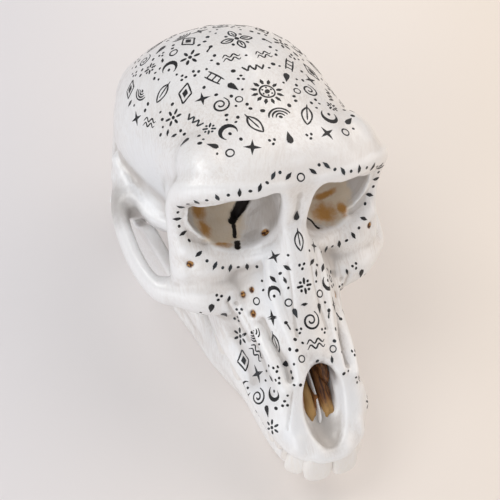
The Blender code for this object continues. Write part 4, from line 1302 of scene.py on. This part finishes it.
# finishes
pearlPaint = {
    "white": (0.89, 0.878, 0.865, 1), "warm": (0.785, 0.75, 0.72, 1), "cool": (0.865, 0.885, 0.91, 1),
    # the hollow tone is painted shade for hollows and creases, the ridge tone a painted highlight for ridges
    "hollow": (0.50, 0.46, 0.425, 1), "ridge": (0.93, 0.935, 0.94, 1), "paintedShade": (0.47, 0.445, 0.42, 1),
    "roughness": (0.30, 0.48), "metallic": 0.05, "coat": 0.4, "coatRoughness": 0.2, "bump": 0.00015,
    # painted shade in hollows and painted highlight on ridges: where each begins and ends, in mm below the smoothed
    # form, and its strength
    "paintedHollowShade": {"hollow": (-0.1, 1.3, 0.75), "crease": (0.03, 0.16, 0.6)},
    "paintedRidgeHighlight": {"hollow": (-0.6, -1.8, 0.6), "crease": (-0.05, -0.2, 0.7)},
    "jawPaintedShadeShare": 0.5,  # share of the painted shade of hollows on the lower jaw
    # share of the clouds, of the warm and cool tints of painted light, and of the painted shade
    "cloudShare": 0.45, "warmShare": 0.55, "coolShare": 0.8, "paintedShadeShare": 0.85,
}
# crack and openingShadow are painted shadow for the gaps and holes; the other tones are the bare bone's own colours
bareBoneAndShade = {
    "colour": (0.74, 0.60, 0.42, 1), "pale": (0.86, 0.78, 0.67, 1), "stain": (0.56, 0.29, 0.085, 1),
    "crackShadow": (0.010, 0.006, 0.005, 1), "opening": (0.46, 0.23, 0.06, 1), "openingShadow": (0.07, 0.022, 0.006, 1),
}
toothPaint = {"colour": (0.87, 0.84, 0.80, 1), "roughness": 0.32, "coat": 0.2, "whiter": 0.6, "bump": 0.00009}
inkTone = {"black": (0.006, 0.006, 0.008, 1), "worn": (0.030, 0.042, 0.052, 1), "roughness": 0.45}
scrollTone = {"dark": (0.05, 0.013, 0.004, 1), "mid": (0.26, 0.105, 0.025, 1), "ochre": (0.50, 0.30, 0.10, 1)}


def newGroup(name, inputs, outputs):
    group = bpy.data.node_groups.new(name, "ShaderNodeTree")
    for label, kind in inputs:
        group.interface.new_socket(label, in_out="INPUT", socket_type=kind)
    for label, kind in outputs:
        group.interface.new_socket(label, in_out="OUTPUT", socket_type=kind)
    return group, addNode(group, "NodeGroupInput"), addNode(group, "NodeGroupOutput")


def maths(tree, operation, first, second=None):
    node = addNode(tree, "ShaderNodeMath", operation=operation)
    for i, value in enumerate((first, second)):
        if value is None:
            continue
        if isinstance(value, (int, float)):
            node.inputs[i].default_value = value
        else:
            tree.links.new(value, node.inputs[i])
    return node.outputs[0]


def vectorMaths(tree, operation, first, second=None, third=None, out=0):
    node = addNode(tree, "ShaderNodeVectorMath", operation=operation)
    for i, value in enumerate((first, second, third)):
        if value is None:
            continue
        if isinstance(value, tuple):
            node.inputs[i].default_value = value
        else:
            tree.links.new(value, node.inputs[i])
    return node.outputs[out]


def rangeOf(tree, value, low, high, start, end, smooth=True):
    node = addNode(tree, "ShaderNodeMapRange", interpolation_type="SMOOTHSTEP" if smooth else "LINEAR")
    for label, given in (("From Min", low), ("From Max", high), ("To Min", start), ("To Max", end)):
        if isinstance(given, (int, float)):
            node.inputs[label].default_value = given
        else:
            tree.links.new(given, node.inputs[label])
    tree.links.new(value, node.inputs["Value"])
    return node.outputs["Result"]


def noiseOf(tree, place, scale, detail=2.0, roughness=0.5, distortion=0.0, colour=False):
    node = addNode(tree, "ShaderNodeTexNoise")
    node.inputs["Scale"].default_value = scale
    node.inputs["Detail"].default_value = detail
    node.inputs["Roughness"].default_value = roughness
    node.inputs["Distortion"].default_value = distortion
    tree.links.new(place, node.inputs["Vector"])
    return node.outputs["Color" if colour else "Fac"]


def mixColour(tree, share, first, second):
    node = addNode(tree, "ShaderNodeMix", data_type="RGBA")
    for slot, value in ((0, share), (6, first), (7, second)):
        if isinstance(value, (int, float, tuple)):
            node.inputs[slot].default_value = value
        else:
            tree.links.new(value, node.inputs[slot])
    return node.outputs[2]


def makeSkullPlace():  # place on the piece in millimetres of the skull's own frame
    group, _, outside = newGroup("skullPlace", (), (("Place", "NodeSocketVector"),))
    place = addNode(group, "ShaderNodeTexCoord").outputs["Object"]
    inMm = vectorMaths(group, "MULTIPLY_ADD", place, (1000, 1000, 1000), (0, 2.0, -16.3))
    group.links.new(inMm, outside.inputs["Place"])
    return group


def makeSpotMask():  # 1 inside an egg-shaped place, 0 outside, with a ragged edge
    group, inside, outside = newGroup(
        "spotMask",
        (("Place", "NodeSocketVector"), ("Centre", "NodeSocketVector"), ("Size", "NodeSocketVector"),
         ("Soft", "NodeSocketFloat"), ("Ragged", "NodeSocketFloat")),
        (("Mask", "NodeSocketFloat"),),
    )
    away = vectorMaths(group, "SUBTRACT", inside.outputs["Place"], inside.outputs["Centre"])
    share = vectorMaths(group, "LENGTH", vectorMaths(group, "DIVIDE", away, inside.outputs["Size"]), out=1)
    rough = noiseOf(group, inside.outputs["Place"], 0.32, 3.0, 0.6)
    swing = maths(group, "MULTIPLY", maths(group, "SUBTRACT", rough, 0.5), inside.outputs["Ragged"])
    total = maths(group, "ADD", share, swing)
    low = maths(group, "SUBTRACT", 1.0, inside.outputs["Soft"])
    high = maths(group, "ADD", 1.0, inside.outputs["Soft"])
    group.links.new(rangeOf(group, total, low, high, 1.0, 0.0), outside.inputs["Mask"])
    return group


def makeLineMask():  # 1 near the line between two places
    group, inside, outside = newGroup(
        "lineMask",
        (("Place", "NodeSocketVector"), ("Start", "NodeSocketVector"), ("End", "NodeSocketVector"),
         ("Width", "NodeSocketFloat")),
        (("Mask", "NodeSocketFloat"),),
    )
    away = vectorMaths(group, "SUBTRACT", inside.outputs["Place"], inside.outputs["Start"])
    way = vectorMaths(group, "SUBTRACT", inside.outputs["End"], inside.outputs["Start"])
    along = vectorMaths(group, "DOT_PRODUCT", away, way, out=1)
    whole = vectorMaths(group, "DOT_PRODUCT", way, way, out=1)
    share = addNode(group, "ShaderNodeClamp")
    group.links.new(maths(group, "DIVIDE", along, whole), share.inputs["Value"])
    scaled = addNode(group, "ShaderNodeVectorMath", operation="SCALE")
    group.links.new(way, scaled.inputs[0])
    group.links.new(share.outputs[0], scaled.inputs["Scale"])
    gap = vectorMaths(group, "LENGTH", vectorMaths(group, "SUBTRACT", away, scaled.outputs[0]), out=1)
    rough = noiseOf(group, inside.outputs["Place"], 0.9, 3.0, 0.6)
    wild = maths(group, "MULTIPLY", maths(group, "SUBTRACT", rough, 0.5), 1.1)
    total = maths(group, "ADD", gap, wild)
    low = maths(group, "MULTIPLY", inside.outputs["Width"], 0.8)
    high = maths(group, "MULTIPLY", inside.outputs["Width"], 1.2)
    group.links.new(rangeOf(group, total, low, high, 1.0, 0.0), outside.inputs["Mask"])
    return group


brushDirections = (
    # turn about x, y and z in degrees, width and length of a stroke in mm
    ((32, 0, 0), 0.75, 14.0),
    ((58, 8, 14), 0.9, 11.0),
    ((12, 0, -28), 1.0, 9.0),
)


def makeBrushMarks():  # streaks of the brush, whose direction changes from place to place
    group, _, outside = newGroup(
        "brushMarks", (), (("Height", "NodeSocketFloat"), ("Tone", "NodeSocketFloat"), ("Cloud", "NodeSocketFloat"))
    )
    place = addNode(group, "ShaderNodeTexCoord").outputs["Object"]
    streaks = []
    for turn, width, length in brushDirections:
        lay = addNode(group, "ShaderNodeMapping", vector_type="TEXTURE")
        lay.inputs["Rotation"].default_value = [math.radians(a) for a in turn]
        lay.inputs["Scale"].default_value = (width * mm, length * mm, width * mm)
        group.links.new(place, lay.inputs["Vector"])
        streaks.append(noiseOf(group, lay.outputs["Vector"], 1.0, 3.0, 0.62, 0.6))
    where = noiseOf(group, place, 34.0, 2.0, 0.5, colour=True)
    split = addNode(group, "ShaderNodeSeparateColor")
    group.links.new(where, split.inputs[0])
    first = addNode(group, "ShaderNodeMix", data_type="FLOAT")
    second = addNode(group, "ShaderNodeMix", data_type="FLOAT")
    group.links.new(rangeOf(group, split.outputs[0], 0.44, 0.56, 0.0, 1.0), first.inputs[0])
    group.links.new(streaks[0], first.inputs[2])
    group.links.new(streaks[1], first.inputs[3])
    group.links.new(rangeOf(group, split.outputs[1], 0.50, 0.62, 0.0, 1.0), second.inputs[0])
    group.links.new(first.outputs[0], second.inputs[2])
    group.links.new(streaks[2], second.inputs[3])
    fine = noiseOf(group, place, 900.0, 3.0, 0.6)
    height = maths(group, "ADD", second.outputs[0], maths(group, "MULTIPLY", fine, 0.28))
    group.links.new(height, outside.inputs["Height"])
    group.links.new(rangeOf(group, second.outputs[0], 0.34, 0.60, 0.0, 1.0), outside.inputs["Tone"])
    group.links.new(rangeOf(group, split.outputs[2], 0.35, 0.65, 0.0, 1.0), outside.inputs["Cloud"])
    return group


skullPlace, spotMask, lineMask, brushMarks = makeSkullPlace(), makeSpotMask(), makeLineMask(), makeBrushMarks()


def useGroup(tree, group):
    return addNode(tree, "ShaderNodeGroup", node_tree=group)


def spotIn(tree, place, centre, size, soft=0.2, ragged=0.6):
    node = useGroup(tree, spotMask)
    tree.links.new(place, node.inputs["Place"])
    node.inputs["Centre"].default_value = centre
    node.inputs["Size"].default_value = size
    node.inputs["Soft"].default_value = soft
    node.inputs["Ragged"].default_value = ragged
    return node.outputs["Mask"]


def lineIn(tree, place, start, end, width):  # the height counts less, so that a line reaches down into its groove
    node = useGroup(tree, lineMask)
    tree.links.new(vectorMaths(tree, "MULTIPLY", place, (1, 1, 0.35)), node.inputs["Place"])
    node.inputs["Start"].default_value = (*start[:2], start[2] * 0.35)
    node.inputs["End"].default_value = (*end[:2], end[2] * 0.35)
    node.inputs["Width"].default_value = width
    return node.outputs["Mask"]


def mostOf(tree, values):
    total = values[0]
    for value in values[1:]:
        total = maths(tree, "MAXIMUM", total, value)
    return total


def bothSides(tree, place):  # the same place, folded onto the left side
    split, folded = addNode(tree, "ShaderNodeSeparateXYZ"), addNode(tree, "ShaderNodeCombineXYZ")
    tree.links.new(place, split.inputs[0])
    tree.links.new(maths(tree, "ABSOLUTE", split.outputs[0]), folded.inputs[0])
    tree.links.new(split.outputs[1], folded.inputs[1])
    tree.links.new(split.outputs[2], folded.inputs[2])
    return folded.outputs[0]


craniumSpots = {
    # centre, size, softness, raggedness, in mm; folded ones count for both sides
    "bareFolded": (((21.0, 4.0, 50.0), (10.8, 14.2, 9.5), 0.14, 0.35),),
    # painted shade on the floor of the nose opening and on the wall under the temple crest
    "paintedShadeFolded": (((0.0, -69.5, 9.4), (5.2, 8.5, 3.6), 0.55, 0.6), ((44.0, 27.0, 32.0), (7.0, 10.0, 5.0), 0.5, 0.5)),
    "stains": (
        ((-26.8, -1.6, 49.5), (2.6, 3.4, 3.0), 0.5, 1.5), ((-26.5, 6.0, 51.5), (3.0, 4.0, 3.0), 0.6, 1.5),
        ((-22.5, -9.0, 48.1), (3.6, 1.5, 2.4), 0.45, 1.6), ((-14.8, -10.0, 48.0), (2.2, 1.4, 2.0), 0.5, 1.6),
        ((26.4, -5.6, 49.1), (1.3, 3.6, 3.0), 0.5, 1.6), ((23.0, 3.0, 48.7), (4.6, 1.3, 3.0), 0.5, 1.6),
        ((20.0, -4.0, 47.3), (4.0, 4.0, 2.4), 0.7, 1.6),
    ),
    "openings": (
        ((-35.2, -11.3, 44.9), (1.5, 1.8, 1.5), 0.25, 0.7), ((35.2, -11.3, 44.9), (1.4, 1.6, 1.4), 0.25, 0.7),
        ((-17.7, -22.8, 35.0), (1.0, 1.6, 1.6), 0.3, 0.8), ((-15.0, -23.4, 37.7), (0.9, 1.4, 1.4), 0.3, 0.8),
        ((-15.9, -29.8, 32.3), (1.1, 1.9, 1.8), 0.3, 0.8), ((15.9, -29.8, 32.3), (1.1, 1.7, 1.6), 0.3, 0.8),
        ((-6.9, -10.2, 51.0), (1.6, 1.7, 1.9), 0.25, 0.6), ((6.9, -10.2, 51.0), (1.5, 1.5, 1.8), 0.25, 0.6),
    ),
    "nose": (((-1.8, -51.0, 18.0), (7.4, 15.4, 9.5), 0.10, 0.35),),
    # painted shade deep in the top of the nose cavity
    "noseShadow": (((-1.0, -47.0, 22.0), (8.0, 11.0, 9.0), 0.35, 0.5),),
    # painted light: these places are tinted warmer and darker, standing in for shade and the warm fill light on them
    "warm": (
        ((4, -14, 84), (26, 12, 12), 0.6, 0.8), ((-24, -18, 40), (12, 8, 8), 0.6, 0.9),
        ((0, -46, 34), (7, 20, 12), 0.5, 0.6), ((30, 0, 70), (14, 20, 20), 0.6, 0.8),
    ),
    # painted light: these places are tinted cooler, standing in for the cool light falling on them
    "cool": (
        ((-10.5, -26, 44), (4.2, 16, 12), 0.5, 0.8), ((-20, -46, 20), (6, 16, 9), 0.5, 1.0),
        ((-12, -68, 14), (6, 9, 7), 0.6, 0.8), ((-40, 24, 48), (8, 22, 18), 0.7, 0.9),
        ((10, -62, 18), (5, 12, 8), 0.5, 0.8),
    ),
    # the cracks, painted near-black as their shadow: start, end, half width
    "cracks": (
        ((-8.6, 6.6, 51.6), (-10.6, 4.6, 49.4), 2.3), ((-10.6, 4.6, 49.4), (-12.4, 3.4, 48.0), 1.9),
        ((-12.4, 3.4, 48.0), (-14.7, 0.9, 47.1), 1.5), ((-14.8, -0.8, 46.9), (-15.5, -3.5, 46.7), 0.75),
        ((-15.5, -3.5, 46.7), (-16.2, -5.6, 46.2), 0.7), ((-16.4, -8.3, 46.4), (-17.5, -11.0, 47.2), 1.05),
        ((11.6, -4.2, 47.4), (13.9, -6.6, 46.8), 0.6), ((13.9, -6.6, 46.8), (14.8, -10.1, 47.8), 0.5),
    ),
}


def reliefTone(tree, setup):  # how strongly a place takes the painted shade of hollows or the painted highlight of ridges
    values = []
    for name, (start, end, strength) in setup.items():
        depth = addNode(tree, "ShaderNodeAttribute", attribute_name=name).outputs["Fac"]
        values.append(rangeOf(tree, depth, start, end, 0.0, strength))
    return mostOf(tree, values)


def addBump(tree, shader, height, distance):
    bump = addNode(tree, "ShaderNodeBump")
    bump.inputs["Distance"].default_value = distance
    tree.links.new(height, bump.inputs["Height"])
    tree.links.new(bump.outputs["Normal"], shader.inputs["Normal"])


def paintedBone(name, withSpots):
    material, tree, shader = newMaterial(name)
    marks = useGroup(tree, brushMarks)
    place = useGroup(tree, skullPlace).outputs["Place"]
    colour = mixColour(tree, marks.outputs["Tone"], pearlPaint["warm"], pearlPaint["white"])
    clouds = maths(tree, "MULTIPLY", marks.outputs["Cloud"], pearlPaint["cloudShare"])
    colour = mixColour(tree, clouds, colour, pearlPaint["cool"])
    paintedHollowShade, paintedRidgeHighlight = reliefTone(tree, pearlPaint["paintedHollowShade"]), reliefTone(tree, pearlPaint["paintedRidgeHighlight"])
    rough = rangeOf(tree, marks.outputs["Tone"], 0.0, 1.0, *pearlPaint["roughness"][::-1], smooth=False)
    if withSpots:
        spots = craniumSpots
        folded = bothSides(tree, place)
        # painted light: warm, darker tint where shade and the warm fill fall, cool tint where the cool light falls
        warm = mostOf(tree, [spotIn(tree, place, *row) for row in spots["warm"]])
        cool = mostOf(tree, [spotIn(tree, place, *row) for row in spots["cool"]])
        colour = mixColour(tree, maths(tree, "MULTIPLY", warm, pearlPaint["warmShare"]), colour, pearlPaint["warm"])
        colour = mixColour(tree, maths(tree, "MULTIPLY", cool, pearlPaint["coolShare"]), colour, pearlPaint["cool"])
    # painted highlight on ridges and painted shade in hollows and creases, set by how far each place lies above or
    # below the smoothed form
    colour = mixColour(tree, paintedRidgeHighlight, colour, pearlPaint["ridge"])
    paintedHollowShade = maths(tree, "MULTIPLY", paintedHollowShade, 1.0 if withSpots else pearlPaint["jawPaintedShadeShare"])
    colour = mixColour(tree, paintedHollowShade, colour, pearlPaint["hollow"])
    if withSpots:
        # painted shade on the nose floor and on the wall under the temple crest
        paintedShade = mostOf(tree, [spotIn(tree, folded, *row) for row in spots["paintedShadeFolded"]])
        colour = mixColour(tree, maths(tree, "MULTIPLY", paintedShade, pearlPaint["paintedShadeShare"]), colour, pearlPaint["paintedShade"])
        bare = mostOf(tree, [spotIn(tree, folded, *row) for row in spots["bareFolded"]])
        boneTone = mixColour(tree, noiseOf(tree, place, 0.22, 3.0, 0.6), bareBoneAndShade["colour"], bareBoneAndShade["pale"])
        stain = mostOf(tree, [spotIn(tree, place, *row) for row in spots["stains"]])
        boneTone = mixColour(tree, stain, boneTone, bareBoneAndShade["stain"])
        colour = mixColour(tree, bare, colour, boneTone)
        opening = mostOf(tree, [spotIn(tree, place, *row) for row in spots["openings"]])
        # painted shadow: the openings are brown bone with noise-spread patches of near-black for the shade deep in
        # the holes
        depth = rangeOf(tree, noiseOf(tree, place, 1.1, 2.0, 0.5), 0.44, 0.54, 0.0, 1.0)
        openingTone = mixColour(tree, depth, bareBoneAndShade["opening"], bareBoneAndShade["openingShadow"])
        colour = mixColour(tree, opening, colour, openingTone)
        nose = mostOf(tree, [spotIn(tree, place, *row) for row in spots["nose"]])
        colour = mixColour(tree, nose, colour, scrollTone["mid"])
        # painted shade: very dark brown deep in the top of the nose cavity
        dark = mostOf(tree, [spotIn(tree, place, *row) for row in spots["noseShadow"]])
        colour = mixColour(tree, dark, colour, scrollTone["dark"])
        # painted shadow: near-black along the cracks in the socket floors
        crackShadow = mostOf(tree, [lineIn(tree, place, *row) for row in spots["cracks"]])
        colour = mixColour(tree, crackShadow, colour, bareBoneAndShade["crackShadow"])
        unpainted = mostOf(tree, [bare, opening, nose, crackShadow])
        rough = maths(tree, "MAXIMUM", rough, maths(tree, "MULTIPLY", unpainted, 0.7))
        coat = rangeOf(tree, unpainted, 0.0, 1.0, pearlPaint["coat"], 0.0, smooth=False)
        tree.links.new(coat, shader.inputs["Coat Weight"])
    else:
        shader.inputs["Coat Weight"].default_value = pearlPaint["coat"]
    addBump(tree, shader, marks.outputs["Height"], pearlPaint["bump"])
    tree.links.new(colour, shader.inputs["Base Color"])
    tree.links.new(rough, shader.inputs["Roughness"])
    shader.inputs["Coat Roughness"].default_value = pearlPaint["coatRoughness"]
    shader.inputs["Metallic"].default_value = pearlPaint["metallic"]
    return material


def toothFinish():
    material, tree, shader = newMaterial("paintedTeeth")
    marks = useGroup(tree, brushMarks)
    share = maths(tree, "MULTIPLY", marks.outputs["Tone"], toothPaint["whiter"])
    colour = mixColour(tree, share, toothPaint["colour"], pearlPaint["white"])
    addBump(tree, shader, marks.outputs["Height"], toothPaint["bump"])
    tree.links.new(colour, shader.inputs["Base Color"])
    shader.inputs["Roughness"].default_value = toothPaint["roughness"]
    shader.inputs["Coat Weight"].default_value = toothPaint["coat"]
    return material


def scrollFinish():
    material, tree, shader = newMaterial("noseBone")
    place = useGroup(tree, skullPlace).outputs["Place"]
    lay = addNode(tree, "ShaderNodeMapping", vector_type="TEXTURE")
    lay.inputs["Rotation"].default_value = (math.radians(20), 0, 0)
    lay.inputs["Scale"].default_value = (0.8, 7.0, 0.8)
    tree.links.new(place, lay.inputs["Vector"])
    streaks = noiseOf(tree, lay.outputs["Vector"], 1.0, 3.0, 0.6)
    colour = mixColour(tree, rangeOf(tree, streaks, 0.35, 0.65, 0.0, 1.0), scrollTone["dark"], scrollTone["mid"])
    front = spotIn(tree, place, (3.0, -67.0, 12.0), (7.5, 5.5, 5.0), 0.6, 0.9)
    side = spotIn(tree, place, (-5.0, -60.0, 14.0), (4.5, 12.0, 8.0), 0.5, 0.9)
    colour = mixColour(tree, maths(tree, "MULTIPLY", mostOf(tree, [front, side]), 0.8), colour, scrollTone["ochre"])
    tree.links.new(colour, shader.inputs["Base Color"])
    shader.inputs["Roughness"].default_value = 0.55
    return material


def inkFinish():
    material, tree, shader = newMaterial("blackInk")
    place = addNode(tree, "ShaderNodeTexCoord").outputs["Object"]
    wear = rangeOf(tree, noiseOf(tree, place, 60.0, 3.0, 0.6), 0.48, 0.72, 0.0, 0.75)
    tree.links.new(mixColour(tree, wear, inkTone["black"], inkTone["worn"]), shader.inputs["Base Color"])
    shader.inputs["Roughness"].default_value = inkTone["roughness"]
    return material


craniumPaint, jawPaint = paintedBone("pearlPaint", True), paintedBone("jawPearlPaint", False)
enamel, noseBone, inkBlack = toothFinish(), scrollFinish(), inkFinish()
craniumNodes = ("braincase", "brow_ridge", "cheekbone_left", "cheekbone_right", "muzzle")
finishPiece(craniumBone, "cranium", craniumPaint, craniumNodes)
finishPiece(jawBone, "lowerJaw", jawPaint, ("lower_jaw",))
finishPiece(upperRow, "upperTeeth", enamel, ("muzzle",))
finishPiece(lowerRow, "lowerTeeth", enamel, ("lower_jaw",))
finishPiece(septum, "septum", jawPaint, ("muzzle",))
finishPiece(noseScrolls, "noseScrolls", noseBone, ())
finishPiece(ink, "inkDrawing", inkBlack, (), 30)
